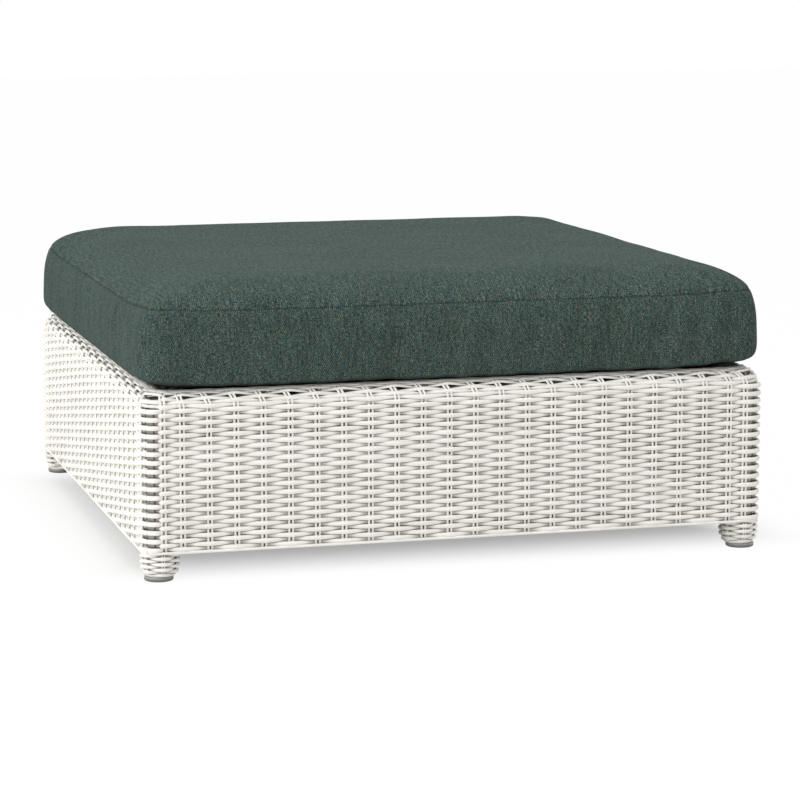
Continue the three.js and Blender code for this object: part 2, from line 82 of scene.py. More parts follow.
def on_base(turn, stake, inset, height):
    """A place on one side of the base, and the way out from it. The stake may be a fraction."""
    opened = rim_corner * min(max((height - wall_top) / 0.020, 0), 1)
    radius = max(base_corner + opened - inset, band_corner)
    run = half_base - inset - radius
    half = run + radius * math.pi / 4
    full = corner_start + base_corner * math.pi / 4
    beyond = max(-1 - stake, stake - last_stake - 1, 0)
    along = stake_place(stake)
    sign = math.copysign(1, along)
    way = end_corner + beyond * (full - end_corner) if beyond else abs(along)
    steady = min(0.40, 0.88 * half)
    if way > steady:
        way = steady + (way - steady) * (half - steady) / (full - steady)
    angle = max(way - run, 0) / radius
    along = sign * (min(way, run) + radius * math.sin(angle))
    place = Vector((along, radius * (1 - math.cos(angle)) + inset - half_base, height))
    out = Vector((sign * math.sin(angle), -math.cos(angle), 0))
    spin = Matrix.Rotation(turn * math.pi / 2, 3, "Z")
    return spin @ place, spin @ out


def row_height(row):
    """Rows of the wall lie closer above the 28th."""
    return 0.0395 + 0.00610 * min(row, 28) + 0.00568 * max(row - 28, 0)


print("stake spacing", round(stake_place(1) - stake_place(0), 4))

# %% [markdown]
# A photograph of a product on white has a long lens. This camera was fitted to the outline of
# the base: it stands in front, a little to the left and a little above, and its lens is set so
# that the base fills the same part of the picture.

# %% Camera
scene = bpy.context.scene
camera = bpy.data.objects.new("camera", bpy.data.cameras.new("camera"))
scene.collection.objects.link(camera)
camera.location = (-1.16953, -4.33342, 0.88076)
camera.rotation_euler = (math.radians(90 - 9.03), 0, math.radians(-15.54))
camera.data.lens = 131.6
camera.data.sensor_width = 36
camera.data.clip_end = 60
scene.camera = camera
print("camera at", [round(v, 3) for v in camera.location])

# %% [markdown]
# The light is soft and even, with the left side brightest. A pale world fills the shadows, a
# large lamp on the left gives the direction, and one above lights the cushion's top. The floor
# is one large sheet. Its finish, made with the helpers below, mixes the lit floor with a white
# glow that the camera sees. The glow's share is painted by place: low by the base, so the real
# shadow there is only lifted, and rising to nearly all further out, so the shadow's soft fading
# is partly painted and the floor beyond is plain white.

# %% Light and floor
scene.view_settings.view_transform = "Standard"
world = bpy.data.worlds.new("studio")
scene.world = world
world.use_nodes = True
sky = world.node_tree
sky.nodes.clear()
sky_out = sky.nodes.new("ShaderNodeOutputWorld")
seen = sky.nodes.new("ShaderNodeMixShader")
fill = sky.nodes.new("ShaderNodeBackground")
white = sky.nodes.new("ShaderNodeBackground")
ray = sky.nodes.new("ShaderNodeLightPath")
shown = sky.nodes.new("ShaderNodeMath")
shown.operation = "ADD"
clear = sky.nodes.new("ShaderNodeMath")
clear.operation = "ADD"
clear.use_clamp = True
fill.inputs["Color"].default_value = (1.0, 0.99, 0.975, 1)
fill.inputs["Strength"].default_value = 0.62
white.inputs["Color"].default_value = (1, 1, 1, 1)
white.inputs["Strength"].default_value = 1.0
sky.links.new(ray.outputs["Is Camera Ray"], shown.inputs[0])
sky.links.new(ray.outputs["Is Glossy Ray"], shown.inputs[1])
sky.links.new(shown.outputs[0], clear.inputs[0])
sky.links.new(ray.outputs["Is Transmission Ray"], clear.inputs[1])
sky.links.new(clear.outputs[0], seen.inputs[0])
sky.links.new(fill.outputs[0], seen.inputs[1])
sky.links.new(white.outputs[0], seen.inputs[2])
sky.links.new(seen.outputs[0], sky_out.inputs["Surface"])


def lamp(name, place, aim, size, power):
    """A square soft lamp that points at a place."""
    light = bpy.data.lights.new(name, "AREA")
    light.size = size
    light.energy = power
    body = bpy.data.objects.new(name, light)
    scene.collection.objects.link(body)
    body.location = place
    body.rotation_euler = (Vector(aim) - Vector(place)).to_track_quat("-Z", "Y").to_euler()
    return body


lamp("lamp_left", (-3.4, -1.2, 2.2), (0, 0, 0.25), 2.4, 84)
lamp("lamp_above", (0.2, -0.7, 3.6), (0, 0, 0.2), 2.6, 60)

sheet = bmesh.new()
bmesh.ops.create_grid(sheet, x_segments=1, y_segments=1, size=14)
floor_mesh = bpy.data.meshes.new("floor")
sheet.to_mesh(floor_mesh)
sheet.free()
floor = bpy.data.objects.new("floor", floor_mesh)
scene.collection.objects.link(floor)

# %% [markdown]
# A finish is built from nodes. The helper below writes the few lines that every finish needs,
# so each material cell can show only what makes it special.

# %% Helpers for finishes


class Finish:
    """A material being built: its nodes, its main shader and short ways to add to them."""

    def __init__(self, name, colour, roughness):
        self.material = bpy.data.materials.new(name)
        self.material.use_nodes = True
        self.tree = self.material.node_tree
        self.shader = self.tree.nodes["Principled BSDF"]
        self.shader.inputs["Base Color"].default_value = (*colour, 1)
        self.shader.inputs["Roughness"].default_value = roughness
        self.material.diffuse_color = (*colour, 1)

    def node(self, kind, **settings):
        made = self.tree.nodes.new("ShaderNode" + kind)
        for key, value in settings.items():
            setattr(made, key, value)
        return made

    def link(self, source, target):
        self.tree.links.new(source, target)

    def coordinates(self, output, scale=(1, 1, 1), turn=(0, 0, 0)):
        place = self.node("TexCoord")
        mapping = self.node("Mapping")
        mapping.inputs["Scale"].default_value = scale
        mapping.inputs["Rotation"].default_value = turn
        self.link(place.outputs[output], mapping.inputs["Vector"])
        return mapping.outputs["Vector"]

    def noise(self, vector, scale, detail=2.0, rough=0.5):
        made = self.node("TexNoise")
        made.inputs["Scale"].default_value = scale
        made.inputs["Detail"].default_value = detail
        made.inputs["Roughness"].default_value = rough
        self.link(vector, made.inputs["Vector"])
        return made.outputs["Fac"]

    def wave(self, vector, scale, direction, distortion=0.0, detail_scale=1.0):
        made = self.node("TexWave", bands_direction=direction)
        made.inputs["Scale"].default_value = scale
        made.inputs["Distortion"].default_value = distortion
        made.inputs["Detail Scale"].default_value = detail_scale
        self.link(vector, made.inputs["Vector"])
        return made.outputs["Fac"]

    def ramp(self, source, stops):
        made = self.node("ValToRGB")
        strip = made.color_ramp
        while len(strip.elements) < len(stops):
            strip.elements.new(0.5)
        for element, (place, colour) in zip(strip.elements, stops):
            element.position = place
            element.color = (*colour, 1)
        self.link(source, made.inputs["Fac"])
        return made.outputs["Color"]

    def span(self, source, low, high):
        made = self.node("MapRange")
        made.inputs["To Min"].default_value = low
        made.inputs["To Max"].default_value = high
        self.link(source, made.inputs["Value"])
        return made.outputs["Result"]

    def math(self, operation, first, second):
        made = self.node("Math", operation=operation)
        for source, socket in ((first, made.inputs[0]), (second, made.inputs[1])):
            if isinstance(source, (int, float)):
                socket.default_value = source
            else:
                self.link(source, socket)
        return made.outputs[0]

    def vector(self, operation, first, second=None):
        made = self.node("VectorMath", operation=operation)
        for source, socket in ((first, made.inputs[0]), (second, made.inputs[1])):
            if isinstance(source, tuple):
                socket.default_value = source
            elif source is not None:
                self.link(source, socket)
        return made.outputs["Value" if operation == "LENGTH" else "Vector"]

    def blend(self, kind, amount, first, second):
        made = self.node("Mix", data_type="RGBA", blend_type=kind)
        for source, socket in ((amount, made.inputs[0]), (first, made.inputs[6]), (second, made.inputs[7])):
            if isinstance(source, (int, float)):
                socket.default_value = source
            elif isinstance(source, tuple):
                socket.default_value = (*source, 1)
            else:
                self.link(source, socket)
        return made.outputs[2]

    def colour(self, source):
        self.link(source, self.shader.inputs["Base Color"])

    def roughness(self, source, low, high):
        self.link(self.span(source, low, high), self.shader.inputs["Roughness"])

    def bump(self, source, strength, depth):
        made = self.node("Bump")
        made.inputs["Strength"].default_value = strength
        made.inputs["Distance"].default_value = depth
        self.link(source, made.inputs["Height"])
        self.link(made.outputs["Normal"], self.shader.inputs["Normal"])


wider_across = 0.115
floor_finish = Finish("floor_white", (0.86, 0.86, 0.86), 1.0)
floor_finish.shader.inputs["Specular IOR Level"].default_value = 0.0
sides_of_floor = floor_finish.node("SeparateXYZ")
floor_place = floor_finish.vector("ABSOLUTE", floor_finish.node("TexCoord").outputs["Object"])
floor_finish.link(floor_place, sides_of_floor.inputs[0])
across = floor_finish.math("SUBTRACT", sides_of_floor.outputs["X"], wider_across)
away = floor_finish.math("MAXIMUM", across, sides_of_floor.outputs["Y"])
# Painted shadow: the white glow's share is lowest by the base and rises outwards, which lifts and shapes the shadow
# under the base.
far = floor_finish.node("MapRange", interpolation_type="SMOOTHSTEP")
for socket, value in (("From Min", 0.262), ("From Max", 0.470), ("To Min", 0.36), ("To Max", 0.98)):
    far.inputs[socket].default_value = value
floor_finish.link(away, far.inputs["Value"])
path_kind = floor_finish.node("LightPath")
seen_rays = floor_finish.math("ADD", 0, 0)
for kind in ("Is Camera Ray", "Is Glossy Ray", "Is Transmission Ray"):
    seen_rays = floor_finish.math("MAXIMUM", seen_rays, path_kind.outputs[kind])
white_floor = floor_finish.node("Emission")
two = floor_finish.node("MixShader")
floor_finish.link(floor_finish.math("MULTIPLY", seen_rays, far.outputs["Result"]), two.inputs[0])
floor_finish.link(floor_finish.shader.outputs["BSDF"], two.inputs[1])
floor_finish.link(white_floor.outputs["Emission"], two.inputs[2])
floor_finish.link(two.outputs["Shader"], floor_finish.tree.nodes["Material Output"].inputs["Surface"])
floor_mesh.materials.append(floor_finish.material)

# %% [markdown]
# The strands are extruded resin: warm white, satin, with faint lines drawn along them as they
# left the die and slow changes of tone from strand to strand. The lines follow each strand,
# so they use the strand's own UV map, which runs once along it and once round it. Shade is
# painted deep in the weave: the finish works out how deep a place lies behind the woven face
# from its place on the object, round the corners and over the rim, and darkens it there. The
# weavers are also darkened in the slit behind each stake pair, and the feet inside their wrap.

# %% Finish of the woven strands


def depth_in_weave(resin):
    """How far a place lies behind the woven face, in metres, from its place on the object."""
    place = resin.node("TexCoord").outputs["Object"]
    beyond = resin.vector("SUBTRACT", resin.vector("ABSOLUTE", place), (corner_start, corner_start, wall_top))
    beyond = resin.vector("MAXIMUM", beyond, (0, 0, 0))
    reach = resin.vector("LENGTH", resin.vector("MULTIPLY", beyond, (1, 1, 0)))
    over = resin.math("MAXIMUM", resin.math("SUBTRACT", reach, base_corner - rim_radius), 0.0)
    rise = resin.node("SeparateXYZ")
    resin.link(beyond, rise.inputs[0])
    length = resin.math("SQRT", resin.math("ADD", resin.math("MULTIPLY", over, over),
                                           resin.math("MULTIPLY", rise.outputs["Z"], rise.outputs["Z"])), 0.0)
    return resin.math("SUBTRACT", rim_radius, length)


# Used for painted shade inside each foot's wrap.
def depth_in_foot(resin):
    """How far a place lies inside the outer form of its foot's wrap, in metres."""
    place = resin.vector("ABSOLUTE", resin.node("TexCoord").outputs["Object"])
    from_foot = resin.vector("SUBTRACT", place, (foot_place, foot_place, 0))
    out = resin.vector("LENGTH", resin.vector("MULTIPLY", from_foot, (1, 1, 0)))
    level = resin.node("SeparateXYZ")
    resin.link(place, level.inputs[0])
    share = resin.math("DIVIDE", resin.math("SUBTRACT", level.outputs["Z"], 0.0068), 0.031)
    drawn_in = resin.math("POWER", resin.math("MAXIMUM", resin.math("SUBTRACT", 1.0, share), 0.0), 4.5)
    return resin.math("SUBTRACT", resin.math("SUBTRACT", 0.0288, resin.math("MULTIPLY", drawn_in, 0.0083)), out)


# Mask for painted shade in the slit between the two strands of each stake.
def between_pair(resin):
    """1 where a place lies behind the slit between the two strands of a stake, 0 elsewhere."""
    parts = resin.node("SeparateXYZ")
    resin.link(resin.node("TexCoord").outputs["Object"], parts.inputs[0])
    x, y, z = (parts.outputs[axis] for axis in "XYZ")
    facing = resin.math("GREATER_THAN", resin.math("ABSOLUTE", y, 0.0), resin.math("ABSOLUTE", x, 0.0))
    on_front = resin.math("MULTIPLY", x, resin.math("MULTIPLY", resin.math("SIGN", y, 0.0), -1.0))
    on_side = resin.math("MULTIPLY", y, resin.math("SIGN", x, 0.0))
    along = resin.math("ADD", resin.math("MULTIPLY", on_front, facing),
                       resin.math("MULTIPLY", on_side, resin.math("SUBTRACT", 1.0, facing)))
    pitch = 2 * end_stake / last_stake
    away = resin.math("PINGPONG", resin.math("SUBTRACT", along, stake_shift - end_stake), pitch / 2)
    slit = resin.math("MULTIPLY", resin.math("LESS_THAN", away, 0.0013), resin.math("LESS_THAN", z, 0.242))
    return resin.math("MULTIPLY", slit, resin.math("GREATER_THAN", depth_in_weave(resin), 0.0030))


def strand_finish(name, run, depth_shaded=True):
    """Resin strand, with run as the length in metres that its UV map covers."""
    resin = Finish(name, (0.86, 0.845, 0.80), 0.45)
    drawn = resin.noise(resin.coordinates("UV", (run * 40, 9, 1)), 1.0, 3.0, 0.6)
    shade = resin.noise(resin.coordinates("Object", (1, 1, 5)), 9.0, 2.0)
    grains = resin.noise(resin.coordinates("Object"), 900.0, 2.0)
    tone = resin.ramp(shade, [(0.32, (0.83, 0.815, 0.765)), (0.62, (0.90, 0.885, 0.84))])
    lined = resin.ramp(drawn, [(0.3, (0.92, 0.91, 0.89)), (0.6, (1.0, 1.0, 1.0))])
    colour = resin.blend("MULTIPLY", 0.55, tone, lined)
    # Painted shade: the colour darkens the deeper a place lies in the weave or inside a foot's wrap, and on weavers
    # also in the slit behind each stake pair.
    if depth_shaded:
        deep = resin.math("DIVIDE", (depth_in_foot if "foot" in name else depth_in_weave)(resin), 0.01)
        if "weaver" in name:
            deep = resin.math("ADD", deep, between_pair(resin))
        shade_and_mottle = resin.ramp(deep, [(0.22, (1, 1, 1)), (0.46, (0.50, 0.485, 0.45)), (0.85, (0.14, 0.135, 0.125))])
        colour = resin.blend("MULTIPLY", 1.0, colour, shade_and_mottle)
    resin.colour(colour)
    resin.roughness(drawn, 0.36, 0.56)
    resin.bump(resin.math("ADD", drawn, resin.math("MULTIPLY", grains, 0.3)), 0.25, 0.0002)
    resin.shader.inputs["Specular IOR Level"].default_value = 0.4
    return resin.material


weaver_finish = strand_finish("resin_weaver", 0.9)
stake_finish = strand_finish("resin_stake", 0.24, depth_shaded=False)
rim_finish = strand_finish("resin_rim", 0.9, depth_shaded=False)
fine_finish = strand_finish("resin_fine", 0.9, depth_shaded=False)
foot_finish = strand_finish("resin_foot", 0.15)
print("strand finishes", weaver_finish.name, stake_finish.name, fine_finish.name, foot_finish.name)

# %% [markdown]
# Woven strands are long tubes with a slightly flat section that swell in front of a stake and
# thin out behind it. They could be swept with an operator ring by ring, but a curve with a
# section and a radius at each point does the same in one step and keeps the file short. The
# curve is then made a mesh, and its end caps are merged on.

# %% Helpers for strands


def section(name, half_depth, half_height, count, power=2.0):
    """The outline that a strand is drawn with, as a closed curve. A high power squares it."""
    outline = bpy.data.curves.new(name, "CURVE")
    outline.dimensions = "2D"
    ring = outline.splines.new("POLY")
    ring.points.add(count - 1)
    ring.use_cyclic_u = True
    for step, point in enumerate(ring.points):
        angle = 2 * math.pi * (step + 0.5) / count
        reach = [math.copysign(abs(value) ** (2 / power), value) for value in (math.cos(angle), math.sin(angle))]
        point.co = (half_depth * reach[0], half_height * reach[1], 0, 1)
    return bpy.data.objects.new(name, outline)


def strands(name, outline, lines, level=True, closed=False):
    """A mesh of strands. Each line is a list of (place, swell, tilt)."""
    curve = bpy.data.curves.new(name, "CURVE")
    curve.dimensions = "3D"
    curve.twist_mode = "Z_UP" if level else "MINIMUM"
    curve.bevel_mode = "OBJECT"
    curve.bevel_object = outline
    curve.use_fill_caps = True
    for line in lines:
        spline = curve.splines.new("POLY")
        spline.use_smooth = True
        spline.use_cyclic_u = closed
        spline.points.add(len(line) - 1)
        for point, (place, swell, tilt) in zip(spline.points, line):
            point.co = (*place, 1)
            point.radius = swell
            point.tilt = tilt
    drawn = bpy.data.objects.new(name, curve)
    scene.collection.objects.link(drawn)
    view = bpy.context.evaluated_depsgraph_get()
    mesh = bpy.data.meshes.new_from_object(drawn.evaluated_get(view), depsgraph=view)
    bpy.data.objects.remove(drawn)
    return mesh


def joined(name, meshes, finishes, weld=0.00001):
    """One object from several meshes, each with its finish."""
    whole = bmesh.new()
    for number, mesh in enumerate(meshes):
        before = len(whole.faces)
        whole.from_mesh(mesh)
        whole.faces.ensure_lookup_table()
        for face in whole.faces[before:]:
            face.material_index = number
            face.smooth = True
        bpy.data.meshes.remove(mesh)
    bmesh.ops.remove_doubles(whole, verts=whole.verts, dist=weld)
    bmesh.ops.recalc_face_normals(whole, faces=whole.faces)
    made = bpy.data.meshes.new(name)
    whole.to_mesh(made)
    whole.free()
    for finish in finishes:
        made.materials.append(finish)
    piece = bpy.data.objects.new(name, made)
    scene.collection.objects.link(piece)
    return piece


def over_and_under(count):
    """1 in front of a stake, -1 behind it, nearly straight between, for a count of stakes."""
    lean = 0.9
    return math.asin(lean * math.cos(math.pi * count)) / math.asin(lean)


def weave_count(stake):
    """The place of a stake in the weave. Rows in front of a side's last stake stay in front round
    the corner, almost to the first stake of the next side."""
    share = min(max((stake + 1.46) / 0.46, 0), 1)
    return min(stake, last_stake + 1) if stake > -1 else -2 + share * share * (3 - 2 * share)


def tris(piece):
    return sum(len(face.vertices) - 2 for face in piece.data.polygons)


def placed(piece, body, nodes):
    """Hangs a finished piece on what it rides on, hides the CAD parts it stands for, and prints its size."""
    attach(piece, body)
    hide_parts(*nodes)
    print(piece.name, tris(piece), "triangles", [round(v, 4) for v in piece.dimensions])


# %% [markdown]
# Each wall has 32 weavers and a pair of round strands at every stake. A weaver in front of a
# stake stands out and swells to about 6.8 mm, and behind it draws in and thins to about
# 4.6 mm, which opens the small window where the pair shows. Every weaver strays a little in
# height and swell, from one seeded source, so the wall looks handmade and stays the same on
# each run. A plain strand closes the weave along the bottom edge.

# %% Woven walls
weaver_depth = 0.0021
weaver_height = 0.00296
weaver_swell = 0.15
front_inset = 0.0011
back_inset = 0.0062
stake_radius = 0.00165
stake_inset = 0.0031
stake_gap = 0.0027
weaver_outline = section("weaver_outline", weaver_depth, weaver_height, 10)
stake_outline = section("stake_outline", stake_radius, stake_radius, 8)
edge_outline = section("edge_outline", 0.0020, 0.0020, 10)
hand = random.Random(7)


def stray(amount):
    """A list of small seeded strays, one a stake, with the corner ones left at nothing."""
    values = [hand.uniform(-amount, amount) for _ in range(last_stake + 5)]
    values[0] = values[-1] = values[1] = values[-2] = 0.0
    return values


def between(values, stake):
    """The stray at a fraction of a stake."""
    place = stake + 2
    low = min(int(place), len(values) - 2)
    share = place - low
    return values[low] * (1 - share) + values[low + 1] * share


def stake_steps(steps):
    """Counts along a side from corner to corner, with as many steps to a span."""
    total = (last_stake + 4) * steps
    return [-2 + index / steps for index in range(total + 1)]


def weaver_line(turn, row, route, swell=1.0, near=front_inset, far=back_inset, steps=8, loose=1.0):
    """One weaver along a side. The route gives (inset, height, tilt) for a depth in the weave."""
    lift, plump = stray(0.00022 * loose), stray(0.045 * loose)
    line = []
    for stake in stake_steps(steps):
        wave = over_and_under(weave_count(stake) + row + 1)
        round_corner = min(max(-1 - stake, stake - last_stake - 1, 0), 1)
        inset, height, tilt = route(near + (1 - wave - max(wave, 0) * 0.4 * round_corner) / 2 * (far - near))
        place, _ = on_base(turn, stake, inset, height + between(lift, stake))
        line.append((place, swell * (1 + weaver_swell * wave + between(plump, stake)), tilt))
    return line


def stake_pairs(turn, route):
    """Both strands of each stake on a side, along a route of (inset, height, drift)."""
    lines = []
    for stake in range(-1, last_stake + 2):
        for half in (-1, 1):
            line = []
            for inset, height, drift in route:
                place, out = on_base(turn, stake, inset, height)
                line.append((place + Vector((-out.y, out.x, 0)) * (half * stake_gap + drift), 1.0, 0.0))
            lines.append(line)
    return lines


def upright(row):
    """The route of one row up the wall."""
    return lambda depth: (depth, row_height(row), 0.0)


for side, turn in sides.items():
    rows = [weaver_line(turn, row, upright(row)) for row in range(1, 33)]
    weavers = strands("weavers", weaver_outline, rows)
    edge_line = [(on_base(turn, stake, 0.0012, 0.0411)[0], 1.0, 0.0) for stake in stake_steps(4)]
    edge = strands("edge", edge_outline, [edge_line])
    posts = [(stake_inset, floor_clearance + 0.0025 + 0.2 * step / 8, 0.0) for step in range(9)]
    stakes = strands("stakes", stake_outline, stake_pairs(turn, posts), level=False)
    wall = joined("wall_" + side, [weavers, edge, stakes], [weaver_finish, weaver_finish, stake_finish])
    placed(wall, "base", ["woven_wall_" + side])

# %% [markdown]
# The same stakes bend over the top of the frame and lean to one side as they go, so the last
# windows show slanted pairs with a dark corner on each side. Five weaver rows lie on the curve,
# further apart than on the wall. Inside them fine strands lie side by side and make a smooth
# roll that stands a little proud, and it falls away under the cushion to a border strand.

# %% Woven rims
fine_outline = section("fine_outline", 0.00130, 0.00130, 6)
border_outline = section("border_outline", 0.0026, 0.0026, 8)
rim_rows = {
    34: ((0.0022, 0.2441), (0.0056, 0.2452), 0.10, 0.96),
    35: ((0.0040, 0.2508), (0.0078, 0.2482), 0.30, 0.84),
    36: ((0.0065, 0.2550), (0.0108, 0.2512), 0.55, 0.84),
    37: ((0.0108, 0.2600), (0.0150, 0.2545), 0.70, 0.66),
    38: ((0.0158, 0.2614), (0.0185, 0.2580), 0.95, 0.62),
}
roll = [
    (0.0185, 0.2622), (0.0215, 0.2631), (0.0245, 0.2633), (0.0275, 0.2629), (0.0310, 0.2619), (0.0360, 0.2600),
    (0.0420, 0.2578), (0.0500, 0.2562), (0.0580, 0.2549), (0.0660, 0.2539), (0.0745, 0.2532),
]
fine_pitch = 0.00238
fine_count = 22


def roll_height(inset):
    """How high the fine strands lie at an inset."""
    low, high = next(pair for pair in zip(roll, roll[1:]) if inset <= pair[1][0] or pair[1] is roll[-1])
    return low[1] + (inset - low[0]) / (high[0] - low[0]) * (high[1] - low[1])


def over_rim(row):
    """The route of a row on the rim, from its place in front of a stake to its place behind one."""
    front, behind, lean, _ = rim_rows[row]
    return lambda share: (front[0] + share * (behind[0] - front[0]), front[1] + share * (behind[1] - front[1]), -lean)


stake_route = [
    (stake_inset, wall_top - 0.006, 0.0), (stake_inset, 0.2450, 0.0),
    (0.0040, 0.2487, -0.0009), (0.0056, 0.2522, -0.0025),
    (0.0080, 0.2554, -0.0040), (0.0112, 0.2580, -0.0055), (0.0155, 0.2598, -0.0067), (0.0205, 0.2604, -0.0072),
    (0.0280, 0.2600, -0.0074), (0.0380, 0.2562, -0.0075), (0.0500, 0.2534, -0.0075), (0.0640, 0.2512, -0.0075),
    (0.0740, 0.2504, -0.0075),
]
for side, turn in sides.items():
    rows = [weaver_line(turn, 33, upright(33))]
    for row, (_, _, _, swell) in rim_rows.items():
        rows.append(weaver_line(turn, row, over_rim(row), swell, 0.0, 1.0))
    weavers = strands("weavers", weaver_outline, rows)
    fine = []
    for count in range(fine_count):
        inset = 0.0188 + fine_pitch * count
        height = roll_height(inset)
        fine.append(weaver_line(turn, 39 + count // 3, lambda depth: (inset + depth, height - depth, 0.0),
                                1.0, -0.0002, 0.0005, 5, 0.4))
    band = strands("band", fine_outline, fine)
    border_line = [(on_base(turn, stake, band_end - 0.0035, 0.2520)[0], 1.0, 0.0) for stake in stake_steps(4)]
    border = strands("border", border_outline, [border_line])
    stakes = strands("stakes", stake_outline, stake_pairs(turn, stake_route), level=False)
    rim = joined("rim_" + side, [weavers, band, border, stakes], [rim_finish, fine_finish, fine_finish, stake_finish])
    placed(rim, "base", ["woven_rim_" + side])

# %% [markdown]
# Each leg is wrapped in finer strand over six pairs of thin stakes, one of them facing
# straight forward. The rings close on themselves, so each is a closed curve. The wrap keeps its
# width down to a third of its height and then draws in to the glide, and two plain rings
# finish it.

# %% Wrapped feet
foot_signs = {"front_left": (-1, -1), "front_right": (1, -1), "back_left": (-1, 1), "back_right": (1, 1)}
wrap_outline = section("wrap_outline", 0.0015, 0.0020, 8)
ring_outline = section("ring_outline", 0.00115, 0.00115, 8)
thin_outline = section("thin_outline", 0.00105, 0.00105, 6)


def foot_radius(height):
    """The wrapped foot's outer radius."""
    share = min(max((height - 0.0068) / 0.031, 0.0), 1.0)
    return 0.0205 + 0.0083 * (1 - (1 - share) ** 4.5)


def foot_ring(centre, row, height, steps=84):
    line = []
    for step in range(steps):
        angle = 2 * math.pi * step / steps
        wave = over_and_under((angle + math.pi / 2) / (math.pi / 3) + row)
        reach = foot_radius(height) - 0.0017 - (1 - wave) / 2 * 0.0044
        line.append(((centre[0] + reach * math.cos(angle), centre[1] + reach * math.sin(angle), height),
                     1 + 0.36 * wave + hand.uniform(-0.02, 0.02), 0.0))
    return line


def round_leg(centre, angle, reach, height):
    """One point of a strand, at an angle round a leg."""
    return (centre[0] + reach * math.cos(angle), centre[1] + reach * math.sin(angle), height), 1.0, 0.0


for corner, signs in foot_signs.items():
    centre = [foot_place * sign for sign in signs]
    rows = [foot_ring(centre, row, 0.0103 + 0.0039 * row) for row in range(8)]
    wraps = strands("wraps", wrap_outline, rows, closed=True)
    plain = []
    for height, reach in ((0.0079, 0.0198), (0.0098, 0.0213)):
        ring = [2 * math.pi * step / 48 for step in range(48)]
        plain.append([round_leg(centre, angle, reach, height) for angle in ring])
    rings = strands("rings", ring_outline, plain, closed=True)
    posts = []
    for stake in range(6):
        angle = -math.pi / 2 + stake * math.pi / 3
        for half in (-1, 1):
            line = []
            for step in range(8):
                height = 0.0082 + 0.0298 * step / 7
                reach = foot_radius(height) - 0.0033
                turned = angle + half * 0.0017 / reach
                line.append(round_leg(centre, turned, reach, height))
            posts.append(line)
    thin = strands("thin", thin_outline, posts, level=False)
    foot = joined("foot_" + corner, [wraps, rings, thin], [foot_finish, foot_finish, foot_finish])
    placed(foot, "base", ["foot_wrap_" + corner])

# %% [markdown]
# The glides are moulded plastic, round with an eased edge and a finned stem, so their profile
# is spun. They get a matt grey mottled finish, with painted shade that darkens it low down
# towards the floor and leaves the top lighter.

# %% Glides
plastic = Finish("glide_plastic", (0.21, 0.21, 0.205), 0.55)
mottle = plastic.noise(plastic.coordinates("Object"), 160.0, 4.0, 0.6)
low_down = plastic.node("SeparateXYZ")
plastic.link(plastic.coordinates("Object"), low_down.inputs[0])
# Painted shade: darkest at the floor, lighter towards the top.
painted_floor_shade = plastic.ramp(plastic.math("DIVIDE", low_down.outputs["Z"], 0.0066),
                    [(0.0, (0.10, 0.10, 0.097)), (0.45, (0.19, 0.19, 0.185)), (0.9, (0.36, 0.36, 0.35))])
plastic.colour(plastic.blend("MULTIPLY", 0.35, painted_floor_shade, plastic.ramp(mottle, [(0.3, (0.7, 0.7, 0.7)), (0.7, (1, 1, 1))])))
plastic.roughness(mottle, 0.45, 0.7)
plastic.bump(mottle, 0.2, 0.0003)


def spun(name, profile, centre, finish, steps=48):
    """A closed piece turned from a profile of (radius, height) that starts and ends on its axis."""
    turned = bmesh.new()
    line = [turned.verts.new((radius, 0, height)) for radius, height in profile]
    edges = [turned.edges.new(pair) for pair in zip(line, line[1:])]
    bmesh.ops.spin(turned, geom=line + edges, cent=(0, 0, 0), axis=(0, 0, 1), angle=2 * math.pi,
                   steps=steps, use_merge=True)
    bmesh.ops.remove_doubles(turned, verts=turned.verts, dist=0.000005)
    bmesh.ops.recalc_face_normals(turned, faces=turned.faces)
    bmesh.ops.translate(turned, verts=turned.verts, vec=(*centre, 0))
    for face in turned.faces:
        face.smooth = True
    made = bpy.data.meshes.new(name)
    turned.to_mesh(made)
    turned.free()
    made.materials.append(finish)
    piece = bpy.data.objects.new(name, made)
    scene.collection.objects.link(piece)
    return piece


glide_profile = [(0, 0), (0.0176, 0), (0.0188, 0.0002), (0.0199, 0.0009), (0.0204, 0.0020), (0.0204, 0.0050),
                 (0.0201, 0.0060), (0.0193, 0.0065), (0.0098, 0.0065), (0.0096, 0.0068)]
for fin in range(4):
    foot = 0.0085 + 0.0042 * fin
    glide_profile += [(0.0096, foot), (0.0116, foot + 0.0003), (0.0116, foot + 0.0012), (0.0096, foot + 0.0026)]
glide_profile += [(0.0096, 0.0260), (0.0090, 0.0265), (0, 0.0265)]
for corner, signs in foot_signs.items():
    centre = [leg_place * sign for sign in signs]
    glide = spun("pad_" + corner, glide_profile, centre, plastic.material)
    placed(glide, "base", ["glide_" + corner])

# %% [markdown]
# The frame behind the weave is aluminium tube with a pale powder coat. Its CAD pieces already
# have the right form, so they stay and only get a finish: a fine orange-peel coat, a little
# chalky, with slow changes of tone.

# %% Frame finish
coat = Finish("powder_coat", (0.62, 0.61, 0.57), 0.5)
peel = coat.noise(coat.coordinates("Object"), 1400.0, 2.0)
chalk = coat.noise(coat.coordinates("Object"), 24.0, 4.0, 0.6)
coat.colour(coat.ramp(chalk, [(0.3, (0.56, 0.55, 0.51)), (0.7, (0.66, 0.65, 0.61))]))
coat.roughness(chalk, 0.42, 0.6)
coat.bump(peel, 0.35, 0.00015)
for name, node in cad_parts.items():
    if name.startswith(("leg_tube", "top_rail", "bottom_rail", "middle_post", "deck_rail")):
        node.data.materials.clear()
        node.data.materials.append(coat.material)
        print("coated", name)

# %% [markdown]
# Eight webbing straps carry the cushion across the open deck, woven over and under each other.
# A strap is flat, so it is modelled directly: a grid bent along its route, with both ends
# folded down against the inner rails. A thickness and an eased selvedge are added as modifiers.

# %% Webbing straps
strap_pitch = 0.1514
strap_half = 0.3772
strap_level = 0.2437
strap_swing = 0.00115
strap_flat = 0.0256
strap_width = 0.050

